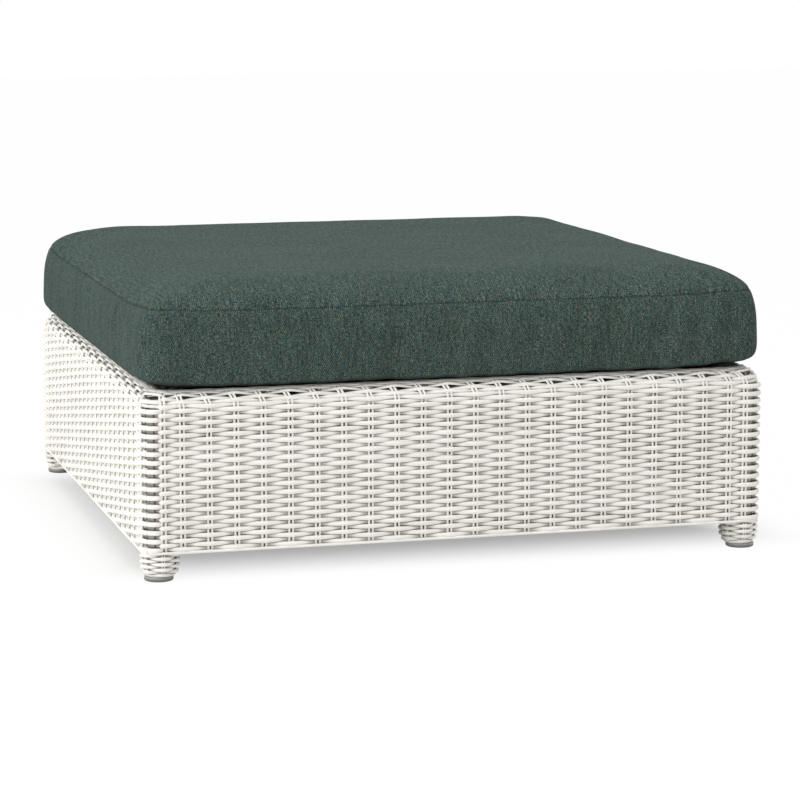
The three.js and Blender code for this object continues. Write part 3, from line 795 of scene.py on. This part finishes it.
webbing = Finish("webbing_black", (0.028, 0.029, 0.029), 0.8)
ribs = webbing.wave(webbing.coordinates("UV", (0.785, strap_width, 1)), 1 / 0.0072, "X")
cords = webbing.wave(webbing.coordinates("UV", (0.785, strap_width, 1)), 1 / 0.0112, "Y")
lint = webbing.noise(webbing.coordinates("Object"), 240.0, 3.0)
knit = webbing.math("MULTIPLY", ribs, cords)
linty = webbing.ramp(lint, [(0.3, (0.022, 0.023, 0.023)), (0.7, (0.042, 0.043, 0.043))])
knitted = webbing.ramp(knit, [(0.0, (0.45, 0.45, 0.45)), (0.5, (1, 1, 1))])
webbing.colour(webbing.blend("MULTIPLY", 0.6, linty, knitted))
webbing.roughness(lint, 0.7, 0.9)
webbing.bump(knit, 0.7, 0.0004)


def strap_height(along, first):
    """Height of a strap's middle: over one strap, under the next, level at both ends."""
    places = [-strap_half - strap_flat] + [strap_pitch * (count - 2.5) for count in (1, 2, 3, 4)]
    places.append(strap_half + strap_flat)
    swings = [0, first, -first, first, -first, 0]
    for low in range(5):
        start, end = places[low] + strap_flat, places[low + 1] - strap_flat
        if along <= end:
            share = min(max((along - start) / (end - start), 0), 1)
            share = share * share * (3 - 2 * share)
            return strap_level + strap_swing * (swings[low] * (1 - share) + swings[low + 1] * share)
    return strap_level


def strap_route(first):
    """The strap's middle line, from one folded end to the other, as (along, height)."""
    level = [(0.3752 * (2 * step / 96 - 1), 0.0) for step in range(97)]
    level = [(along, strap_height(along, first)) for along, _ in level]
    fold = [(strap_half, strap_level - drop) for drop in (0.0006, 0.0020, 0.0050, 0.0090, 0.0135)]
    return [(-along, height) for along, height in reversed(fold)] + level + fold


for turn, way in ((0, "across"), (1, "along")):
    for count in (1, 2, 3, 4):
        first = (1 if count % 2 else -1) * (1 if turn == 0 else -1)
        route = strap_route(first)
        strip = bmesh.new()
        bmesh.ops.create_grid(strip, x_segments=len(route) - 1, y_segments=4, size=0.5, calc_uvs=True)
        columns = sorted({round(vert.co.x, 5) for vert in strip.verts})
        for vert in strip.verts:
            along, height = route[columns.index(round(vert.co.x, 5))]
            vert.co = (along, vert.co.y * strap_width + strap_pitch * (count - 2.5), height)
        if turn:
            bmesh.ops.rotate(strip, verts=strip.verts, matrix=Matrix(((0, 1, 0), (1, 0, 0), (0, 0, 1))))
            bmesh.ops.reverse_faces(strip, faces=strip.faces)
        for face in strip.faces:
            face.smooth = True
        made = bpy.data.meshes.new("webbing_%s_%d" % (way, count))
        strip.to_mesh(made)
        strip.free()
        made.materials.append(webbing.material)
        piece = bpy.data.objects.new(made.name, made)
        scene.collection.objects.link(piece)
        thick = piece.modifiers.new("thickness", "SOLIDIFY")
        thick.thickness = 0.0018
        thick.offset = 0
        edge = piece.modifiers.new("selvedge", "BEVEL")
        edge.width = 0.0004
        edge.segments = 2
        edge.angle_limit = math.radians(50)
        placed(piece, "base", ["strap_%s_%d" % (way, count)])

# %% [markdown]
# The cushion is a boxed cover over foam: a crowned top panel, a boxing strip that bulges
# between its two seams, and an underside that rests flat but curls up at its rim. All three
# come from one subdivided cube whose places are moved onto that form, so the cover is closed
# and its seams are edge loops that stay where they are sewn. Rows lie close together near the
# seams, where the form turns fastest.

# %% The cushion's form
cushion_half = 0.452
cushion_corner = 0.040
zip_share = 0.728
side_draw = 0.004
crown_height = 0.0400
upper_seam = 0.3733
lower_seam = 0.2685
cushion_bottom = 0.2563
seam_tuck = 0.007
seam_inset = 0.003
corner_draw = 0.005
shoulder = 0.103
contact_inset = 0.068
boxing_shares = [0, 0.02, 0.05, 0.1, 0.17, 0.26, 0.35, 0.44, 0.53, 0.62, 0.71, 0.8, 0.88, 0.94, 0.98, 1]


def eased(low, high, value):
    share = min(max((value - low) / (high - low), 0), 1)
    return share * share * (3 - 2 * share)


def pull_at(along):
    """How much a side is drawn in at a place along it: fully over the zip's length, not at all at the corner."""
    past = max(0.0, abs(along) / (cushion_half - cushion_corner) - zip_share) / (1 - zip_share)
    return 1 - min(past, 1.0) ** 2


def rounded(x, y, half, radius):
    """Takes a place on a square's edge to the same square with round corners. Also gives the way out."""
    run = half - radius
    a, b = abs(x) - run, abs(y) - run
    if min(a, b) <= 0:
        turned = 0.0 if a > b else math.pi / 2
    else:
        turned = math.pi / 4 * (b / radius if a >= b else 2 - a / radius)
    out = Vector((math.copysign(math.cos(turned), x), math.copysign(math.sin(turned), y), 0))
    if min(a, b) <= 0:
        return Vector((x, y, 0)), out
    return Vector((math.copysign(run, x), math.copysign(run, y), 0)) + out * radius, out


def side_place(x, y):
    """Which side a place on the edge belongs to, counted as on the base, and how far along it."""
    if abs(y) >= abs(x):
        return (0, x) if y < 0 else (2, -x)
    return (1, y) if x > 0 else (3, -y)


def sag_at(side, along):
    """The left side was sat on: its upper seam hangs lower, away from the front corner."""
    return 0.003 * eased(-0.41, -0.27, -along) * eased(-0.44, -0.36, along) if side == 3 else 0.0


def draw_at(along, share):
    """How far the outline is drawn in at a place along a side. The share is 0 low and 1 high."""
    return side_draw * pull_at(along) + corner_draw * (1 - pull_at(along)) * share


def lower_at(side, along):
    """How far the lower seam is lifted: at the corners, and a little along the front."""
    pull = pull_at(along)
    return 0.0068 * (1 - pull) + (0.0008 * pull if side == 0 else 0.0)


def boxing_inset(share):
    """How far the boxing lies inside the outline at a share of its height, with a tuck at its foot."""
    return -0.0055 + 0.0125 * math.exp(-share / 0.055) + (0.0055 + seam_inset) * max(0.0, 2 * share - 1) ** 2.6


def panel_place(x, y, half, radius, share):
    """A place inside a panel, drawn in with its rim. Also gives its reach, its side and its place along."""
    reach = max(abs(x), abs(y)) / half
    if reach < 0.00001:
        return Vector((x, y, 0)), reach, 0, 0.0
    rim = (x / reach, y / reach)
    at_rim, out = rounded(*rim, half, radius)
    side, along = side_place(*rim)
    shift = at_rim - Vector((*rim, 0)) - out * draw_at(along, share)
    return Vector((x, y, 0)) + shift * reach ** 6, reach, side, along


def top_place(x, y, shrink):
    """The crown leaves the seam steeply, like a shoulder, and is nearly level further in."""
    half = cushion_half - seam_inset - shrink
    place, reach, side, along = panel_place(x * half, y * half, half, cushion_corner - seam_inset - shrink, 1)
    away = [max(half * (1 - abs(value)), 0.00001) for value in (x, y)]
    inward = (away[0] ** -2 + away[1] ** -2) ** -0.5
    rise = (1 - (1 - min(inward / shoulder, 1)) ** 2.5) ** 0.8
    lift = (0.0035 * (1 - pull_at(along)) - sag_at(side, along) * reach) * reach ** 3
    place.z = upper_seam - shrink + lift + crown_height * rise
    return place


def under_place(x, y, shrink):
    half = cushion_half - seam_tuck - shrink
    place, reach, side, along = panel_place(x * half, y * half, half, cushion_corner - seam_tuck - shrink, 0)
    inset = seam_tuck + (1 - reach) * half
    roll = max(0.0, (contact_inset - inset) / (contact_inset - seam_tuck))
    lift = (lower_seam - cushion_bottom) * roll ** 1.25 + lower_at(side, along) * roll ** 0.72
    place.z = cushion_bottom + shrink + lift
    return place


def boxing_place(x, y, share, shrink):
    half = cushion_half - shrink
    place, out = rounded(x * half, y * half, half, cushion_corner - shrink)
    side, along = side_place(x * half, y * half)
    pull = pull_at(along)
    low = lower_seam + shrink + lower_at(side, along)
    high = upper_seam - shrink + 0.0035 * (1 - pull) - sag_at(side, along)
    place -= out * (draw_at(along, share) + boxing_inset(share))
    place.z = low + (high - low) * share
    return place


def spread_rows(near, cuts, half):
    """Shares from -1 to 1 that lie close together near both ends."""
    inner = cuts + 1 - 2 * len(near)
    rim = [-half + step for step in near]
    rows = rim + [rim[-1] * (1 - 2 * step / inner) for step in range(1, inner)]
    return [value / half for value in rows] + [-value / half for value in reversed(rim)]


def cushion_mesh(near, cuts, shares, shrink):
    """The cushion's form as a closed mesh, with its seams marked and its panels laid out in metres."""
    cube = bmesh.new()
    bmesh.ops.create_cube(cube, size=2)
    for axis, count in enumerate((cuts, cuts, len(shares) - 2)):
        along_axis = [e for e in cube.edges if abs(e.verts[0].co[axis] - e.verts[1].co[axis]) > 0.001]
        bmesh.ops.subdivide_edges(cube, edges=along_axis, cuts=count, use_grid_fill=True)
    rows = spread_rows(near, cuts, cushion_half)
    sewn = cube.verts.layers.float.new("seam")
    flat = cube.loops.layers.uv.new("panels")
    cube.normal_update()
    run = cushion_half - cushion_corner
    spot = {}
    for vert in cube.verts:
        x, y = (rows[round((value + 1) / 2 * (len(rows) - 1))] for value in vert.co.xy)
        spot[vert] = (x, y, shares[round((vert.co.z + 1) / 2 * (len(shares) - 1))])
    for face in cube.faces:
        face.smooth = True
        upright = abs(face.normal.z) < 0.5
        side_way = 1 if abs(face.normal.x) > 0.5 else 0
        for loop in face.loops:
            x, y, share = spot[loop.vert]
            if upright:
                along = (y if side_way else x) * cushion_half
                over = max(0.0, abs(along) - run)
                along = math.copysign(min(abs(along), run) + over * math.pi / 4, along)
                loop[flat].uv = (along, 0.1 * share + 0.6 * side_way)
            else:
                loop[flat].uv = (x * cushion_half, y * cushion_half)
    for vert, (x, y, share) in spot.items():
        rim = max(abs(x), abs(y)) > 0.99999
        top, under = vert.co.z > 0.9999, vert.co.z < -0.9999
        vert[sewn] = 1.0 if rim and (top or under) else 0.0
        if rim and not (top and share < 1):
            vert.co = boxing_place(x, y, share, shrink)
        elif top:
            vert.co = top_place(x, y, shrink)
        else:
            vert.co = under_place(x, y, shrink)
    bmesh.ops.recalc_face_normals(cube, faces=cube.faces)
    return cube


widest = cushion_half - boxing_inset(0.5)
print("widest at", round(cushion_half - side_draw - boxing_inset(0.5), 4), "and", round(widest, 4))

# %% [markdown]
# No cloth simulation is run. The cover is shaped by vertex moves alone. Between its seams it is
# pushed in and out by the folds written here, its seam lines are drawn in by a millimetre, and one
# level of subdivision smooths it.

# %% Cushion cover
front_folds = [
    (-0.304, -0.319, 0.5), (-0.206, -0.220, 0.8), (-0.139, -0.145, 0.5), (-0.087, -0.099, 1.0), (-0.004, -0.016, 0.7),
    (0.047, 0.035, 0.7), (0.110, 0.103, 0.8), (0.183, 0.170, 0.7), (0.228, 0.210, 1.0), (0.308, 0.289, 0.8),
    (0.358, 0.350, 0.8), (0.410, 0.397, 1.0),
]
folds = {0: front_folds}
for side in (1, 2, 3):
    rows, along = [], -0.40
    while along < 0.40:
        along += hand.uniform(0.045, 0.095)
        if side != 2 or abs(along) > 0.33:
            rows.append((along, along + hand.uniform(-0.02, 0.02), hand.uniform(0.25, 0.6)))
    folds[side] = rows
fold_depth = 0.0044
fold_width = 0.0125
fold_foot = 0.290
fold_rise = 0.060


def fold_push(side, along, height):
    """How far the folds on one side push a place out, against its seams' line."""
    push = 0.0
    for high, low, strength in folds[side]:
        centre = low + (high - low) * (height - fold_foot) / fold_rise
        away = abs(along - centre) / fold_width
        if away < 5:
            push -= fold_depth * strength * (math.exp(-away * away) - 0.38 * math.exp(-(away - 2.3) ** 2))
    return push


def surface_push(place):
    """Folds, puckers and slow unevenness of the cover at a place."""
    side, along = side_place(place.x, place.y)
    edge = max(abs(place.x), abs(place.y))
    inward = max(0.0, 0.448 - edge)
    clean = eased(0.27, 0.33, abs(along)) if side == 2 and inward < 0.01 else 1.0
    push = 0.0007 * wander.noise(place * 13) * clean + 0.0010 * wander.noise(place * 5.5) * clean
    if place.z > upper_seam + 0.012 * (1 - pull_at(along)) - 0.012 and inward > 0.004:
        near_seam = math.exp(-inward / 0.022)
        push += 0.5 * near_seam * fold_push(side, along, 0.365) * eased(0.0, 0.006, inward)
        push += 0.0005 * near_seam * wander.noise(Vector((along * 46, side * 7.0, 3.0)))
        push += 0.0007 * wander.noise(place * 3.1 + Vector((4, 1, 0)))
    elif place.z > cushion_bottom + 0.004:
        share = min(max((place.z - lower_seam) / (upper_seam - lower_seam), 0.0), 1.0)
        body = 0.3 + 0.7 * math.sin(math.pi * share) ** 0.7
        push += fold_push(side, along, place.z) * body * clean
        near_seam = math.exp(-share * 7) + math.exp(-(1 - share) * 7)
        push += 0.0005 * near_seam * wander.noise(Vector((along * 46, side * 7.0, share * 4)))
    else:
        push = 0.0
    return push


form = cushion_mesh([0, 0.002, 0.005, 0.009, 0.015, 0.022, 0.030], 120, boxing_shares, 0.0)
cover_mesh = bpy.data.meshes.new("cover")
form.to_mesh(cover_mesh)
form.free()
cover = bpy.data.objects.new("cover", cover_mesh)
scene.collection.objects.link(cover)
pushes = [surface_push(vert.co) for vert in cover_mesh.vertices]
for vert, push in zip(cover_mesh.vertices, pushes):
    if cover_mesh.attributes["seam"].data[vert.index].value > 0.5:
        push -= 0.0010
    vert.co += vert.normal * push
smoother = cover.modifiers.new("smooth", "SUBSURF")
smoother.levels = smoother.render_levels = 1

# %% [markdown]
# The fabric is a plain weave of heathered yarn: charcoal, deep green, teal and a few olive
# threads. Yarns are 1.4 mm apart, so two of them make one full over-and-under. Each yarn has
# its own shade and changes along its length, and a longer wave adds a dotted grain. The pattern
# is laid on panels in metres. A dark line marks the sewing.

# %% Fabric finish
yarn = 0.0014
fabric = Finish("fabric_heathered", (0.067, 0.090, 0.076), 0.92)
panels = fabric.node("UVMap", uv_map="panels").outputs["UV"]


def stretched(scale):
    mapping = fabric.node("Mapping")
    mapping.inputs["Scale"].default_value = scale
    fabric.link(panels, mapping.inputs["Vector"])
    return mapping.outputs["Vector"]


def thread_shade(scale, seed):
    """One value a yarn, with slow changes along it."""
    place = fabric.node("VectorMath", operation="ADD")
    fabric.link(stretched(scale), place.inputs[0])
    place.inputs[1].default_value = (seed, seed * 1.7, 0)
    return fabric.noise(place.outputs[0], 1.0, 1.5, 0.6)


upright_wave, level_wave, long_wave = (
    fabric.math("SUBTRACT", fabric.wave(panels, math.pi / 10 / (pitch * yarn), axis), 0.5)
    for pitch, axis in ((2, "X"), (2, "Y"), (3.6, "Y"))
)
crossing = fabric.math("MULTIPLY", upright_wave, level_wave)
on_top = fabric.math("GREATER_THAN", crossing, 0.0)
upright_yarn = thread_shade((1 / yarn, 1 / 0.0046, 1), 3.0)
level_yarn = thread_shade((1 / 0.0040, 1 / yarn, 1), 11.0)
stops = [
    (0.30, (0.008, 0.011, 0.014)), (0.41, (0.020, 0.034, 0.036)), (0.48, (0.024, 0.078, 0.090)),
    (0.54, (0.056, 0.076, 0.064)), (0.61, (0.130, 0.112, 0.052)), (0.70, (0.130, 0.170, 0.165)),
]
weave_colour = fabric.blend("MIX", on_top, fabric.ramp(level_yarn, stops), fabric.ramp(upright_yarn, stops))
grain = fabric.math("ADD", fabric.math("MULTIPLY", upright_wave, long_wave), 0.5)
grain = fabric.math("ADD", grain, fabric.math("MULTIPLY", upright_wave, 0.12))
slubs = thread_shade((1 / 0.0034, 1 / 0.024, 1), 23.0)
faded = fabric.noise(fabric.coordinates("Object"), 7.0, 3.0)
sewing = fabric.node("Attribute", attribute_name="seam").outputs["Fac"]
for value, low, dark, high, light in (
    (slubs, 0.36, 0.80, 0.64, 1.22), (grain, 0.32, 0.66, 0.68, 1.36),
    (faded, 0.3, 0.93, 0.7, 1.08), (sewing, 0.45, 1, 0.85, 0.62),
):
    shade = fabric.ramp(value, [(low, (dark, dark, dark)), (high, (light, light, light))])
    weave_colour = fabric.blend("MULTIPLY", 1.0, weave_colour, shade)
fabric.colour(weave_colour)
fabric.shader.inputs["Sheen Weight"].default_value = 0.01
fabric.shader.inputs["Specular IOR Level"].default_value = 0.06
fabric.roughness(upright_yarn, 0.86, 0.98)
raised = fabric.math("ABSOLUTE", crossing, 0.0)
relief = fabric.math("ADD", fabric.math("MULTIPLY", raised, 2.0), fabric.math("MULTIPLY", upright_yarn, 0.5))
fabric.bump(relief, 0.6, 0.0004)
cover_mesh.materials.append(fabric.material)
placed(cover, "cushion", ["cushion_cover"])

# %% [markdown]
# The foam fills the cover, a little smaller all round. It never shows, but it stays a real
# piece with the same form on fewer rows, in open-celled cream foam.

# %% Foam insert
cells = Finish("foam_cream", (0.78, 0.73, 0.48), 0.95)
pores = cells.noise(cells.coordinates("Object"), 700.0, 4.0, 0.7)
aged = cells.noise(cells.coordinates("Object"), 11.0, 2.0)
cells.colour(cells.blend("MULTIPLY", 0.7, cells.ramp(aged, [(0.3, (0.74, 0.68, 0.42)), (0.7, (0.80, 0.76, 0.54))]),
                         cells.ramp(pores, [(0.35, (0.6, 0.6, 0.6)), (0.55, (1, 1, 1))])))
cells.roughness(pores, 0.85, 1.0)
cells.bump(pores, 0.8, 0.0006)
form = cushion_mesh([0, 0.006, 0.016, 0.030], 40, boxing_shares[::3], 0.0042)
foam_mesh = bpy.data.meshes.new("foam")
form.to_mesh(foam_mesh)
form.free()
foam_mesh.materials.append(cells.material)
foam = bpy.data.objects.new("foam", foam_mesh)
scene.collection.objects.link(foam)
placed(foam, "cushion", ["cushion_foam"])

# %% [markdown]
# The zip runs along the middle of the back boxing. Its tape is two woven strips, sewn on with
# two lines of stitches each, and the coil between them is one nylon thread wound into a helix
# with a stop at each end. Strips are eased blocks, stitches and coil are drawn as strands.

# %% Zip tape and coil
zip_height = 0.3209
tape_back = 0.4538
tape_face = 0.4549

tape_finish = Finish("zip_tape_woven", (0.02, 0.028, 0.027), 0.8)
rib = tape_finish.wave(tape_finish.coordinates("Object"), math.pi / 10 / 0.0011, "Z")
pick = tape_finish.wave(tape_finish.coordinates("Object"), math.pi / 10 / 0.0008, "X")
shade_and_mottle = tape_finish.noise(tape_finish.coordinates("Object"), 160.0, 3.0)
tape_finish.colour(tape_finish.ramp(shade_and_mottle, [(0.3, (0.016, 0.023, 0.022)), (0.7, (0.030, 0.040, 0.038))]))
tape_finish.roughness(shade_and_mottle, 0.7, 0.9)
tape_finish.bump(tape_finish.math("MULTIPLY", rib, pick), 0.6, 0.0002)
thread_finish = Finish("sewing_thread", (0.045, 0.062, 0.055), 0.6)
twist = thread_finish.noise(thread_finish.coordinates("Object", (1, 3, 1)), 1500.0, 2.0)
thread_finish.colour(thread_finish.ramp(twist, [(0.3, (0.030, 0.042, 0.038)), (0.7, (0.065, 0.085, 0.075))]))
thread_finish.bump(twist, 0.5, 0.0001)
nylon = Finish("nylon_coil", (0.018, 0.024, 0.023), 0.38)
haze = nylon.noise(nylon.coordinates("Object"), 400.0, 3.0)
nylon.colour(nylon.ramp(haze, [(0.3, (0.014, 0.019, 0.018)), (0.7, (0.026, 0.034, 0.032))]))
nylon.roughness(haze, 0.3, 0.5)


def eased_block(name, low, high, width, segments=2):
    """A block between two corners with its edges bevelled."""
    block = bmesh.new()
    bmesh.ops.create_cube(block, size=1)
    size = [b - a for a, b in zip(low, high)]
    bmesh.ops.scale(block, verts=block.verts, vec=size)
    bmesh.ops.translate(block, verts=block.verts, vec=[(a + b) / 2 for a, b in zip(low, high)])
    bmesh.ops.bevel(block, geom=block.edges[:], offset=width, segments=segments, profile=0.5,
                    affect="EDGES", material=-1)
    made = bpy.data.meshes.new(name)
    block.to_mesh(made)
    block.free()
    return made


tape_half = 0.300
strip_face = tape_face - 0.0004
tape_strips = [
    eased_block("strip", (-tape_half, tape_back, zip_height + low), (tape_half, strip_face, zip_height + high), 0.0003)
    for low, high in ((-0.014, -0.0006), (0.0006, 0.014))
]
stitch_outline = section("stitch_outline", 0.00032, 0.00032, 6)
stitches = []
for level in (-0.0112, -0.0062, 0.0062, 0.0112):
    for count in range(184):
        start = -0.2975 + 0.00323 * count
        arc = ((0.0, -0.0003), (0.0005, 0.0003), (0.0019, 0.0003), (0.0024, -0.0003))
        stitches.append([((start + step, strip_face + rise, zip_height + level), 1.0, 0.0) for step, rise in arc])
sewn_lines = strands("stitches", stitch_outline, stitches, level=False)
tape = joined("tape", tape_strips + [sewn_lines], [tape_finish.material, tape_finish.material, thread_finish.material])
placed(tape, "cushion", ["zip_tape"])

wire_outline = section("wire_outline", 0.00036, 0.00036, 6)
coil_pitch = 0.0016
coil_back = 0.4554
turns = int(0.562 / coil_pitch)
helix = []
for step in range(turns * 8 + 1):
    angle = 2 * math.pi * step / 8
    place = (-0.281 + coil_pitch * step / 8, 0.4565 + 0.00080 * math.sin(angle), zip_height + 0.0021 * math.cos(angle))
    helix.append((place, 1.0, 0.0))
winding = strands("winding", wire_outline, [helix], level=False)
stops_made = [
    eased_block("stop", (end - 0.002, coil_back, zip_height - 0.0025),
                (end + 0.002, 0.4576, zip_height + 0.0025), 0.0005)
    for end in (-0.284, 0.284)
]
coil = joined("coil", [winding] + stops_made, [nylon.material] * 3)
placed(coil, "cushion", ["zip_coil"])

# %% [markdown]
# The slider has a nosed top plate, a flange down each side of the coil and a bridge, bent from
# one bar, that holds the pull. The pull is a stamped tab with an eye at each end, so it is cut
# as a flat outline with holes. Both are die-cast metal with a worn grey plating.

# %% Zip slider and pull
plated = Finish("zip_plating", (0.30, 0.305, 0.31), 0.32)
plated.shader.inputs["Metallic"].default_value = 1.0
rubbed = plated.noise(plated.coordinates("Object"), 320.0, 4.0, 0.65)
drag = plated.noise(plated.coordinates("Object", (200, 3000, 3000)), 1.0, 2.0)
plated.colour(plated.ramp(rubbed, [(0.3, (0.22, 0.225, 0.23)), (0.65, (0.40, 0.405, 0.41))]))
plated.roughness(rubbed, 0.25, 0.5)
plated.bump(drag, 0.2, 0.00005)

slider_x = 0.265
plate_half = 0.007
plate = eased_block("plate", (slider_x - plate_half, 0.4580, zip_height - 0.005),
                    (slider_x + plate_half, 0.4592, zip_height + 0.005), 0.0005, 3)
for vert in plate.vertices:
    nose = abs(vert.co.x - slider_x) / plate_half
    vert.co.z = zip_height + (vert.co.z - zip_height) * (1 - 0.28 * nose ** 3)
flanges = [
    eased_block("flange", (slider_x - 0.0058, coil_back, zip_height + low),
                (slider_x + 0.0058, 0.4586, zip_height + high), 0.0004)
    for low, high in ((-0.0049, -0.0029), (0.0029, 0.0049))
]
bar_outline = section("bar_outline", 0.00062, 0.00110, 12, 3.0)
bend = [(-0.0033, 0.4588), (-0.0033, 0.4608), (-0.0031, 0.4617), (-0.0025, 0.4623), (-0.0016, 0.46255),
        (0.0016, 0.46255), (0.0025, 0.4623), (0.0031, 0.4617), (0.0033, 0.4608), (0.0033, 0.4588)]
bridge = strands("bridge", bar_outline, [[((slider_x + x, y, zip_height), 1.0, 0.0) for x, y in bend]], level=False)
slider = joined("slider", [plate] + flanges + [bridge], [plated.material] * 4)
placed(slider, "zip_slider", ["zip_slider"])


def outline_ring(curve, corners, radius):
    """Adds one closed outline with rounded corners to a flat curve."""
    ring = []
    count = len(corners)
    for number, corner in enumerate(corners):
        here = Vector(corner)
        back = (Vector(corners[number - 1]) - here).normalized()
        ahead = (Vector(corners[(number + 1) % count]) - here).normalized()
        start, end = here + back * radius, here + ahead * radius
        for step in range(6):
            share = step / 5
            ring.append(start * (1 - share) ** 2 + here * 2 * share * (1 - share) + end * share ** 2)
    spline = curve.splines.new("POLY")
    spline.points.add(len(ring) - 1)
    for point, place in zip(spline.points, ring):
        point.co = (place.x, place.y, 0, 1)
    spline.use_cyclic_u = True


tab = bpy.data.curves.new("tab", "CURVE")
tab.dimensions = "2D"
tab.fill_mode = "BOTH"
tab.extrude = 0.00045
tab.bevel_depth = 0.00022
tab.bevel_resolution = 1
tab_outline = [(-0.0258, -0.0037), (-0.0258, 0.0037), (-0.009, 0.0030), (0.0004, 0.0035), (0.0004, -0.0035),
               (-0.009, -0.0030)]
outline_ring(tab, tab_outline, 0.0012)
outline_ring(tab, [(-0.0070, -0.0017), (-0.0010, -0.0017), (-0.0010, 0.0017), (-0.0070, 0.0017)], 0.0008)
outline_ring(tab, [(-0.0232, -0.0018), (-0.0200, -0.0018), (-0.0200, 0.0018), (-0.0232, 0.0018)], 0.0008)
tab_object = bpy.data.objects.new("tab", tab)
scene.collection.objects.link(tab_object)
pull_mesh = bpy.data.meshes.new_from_object(tab_object.evaluated_get(bpy.context.evaluated_depsgraph_get()))
bpy.data.objects.remove(tab_object)
pull_mesh.transform(Matrix.Translation((slider_x, 0.46055, zip_height)) @ Matrix.Rotation(math.pi / 2, 4, "X"))
pull = joined("pull", [pull_mesh], [plated.material])
for polygon in pull.data.polygons:
    polygon.use_smooth = False
placed(pull, "zip_pull", ["zip_pull"])
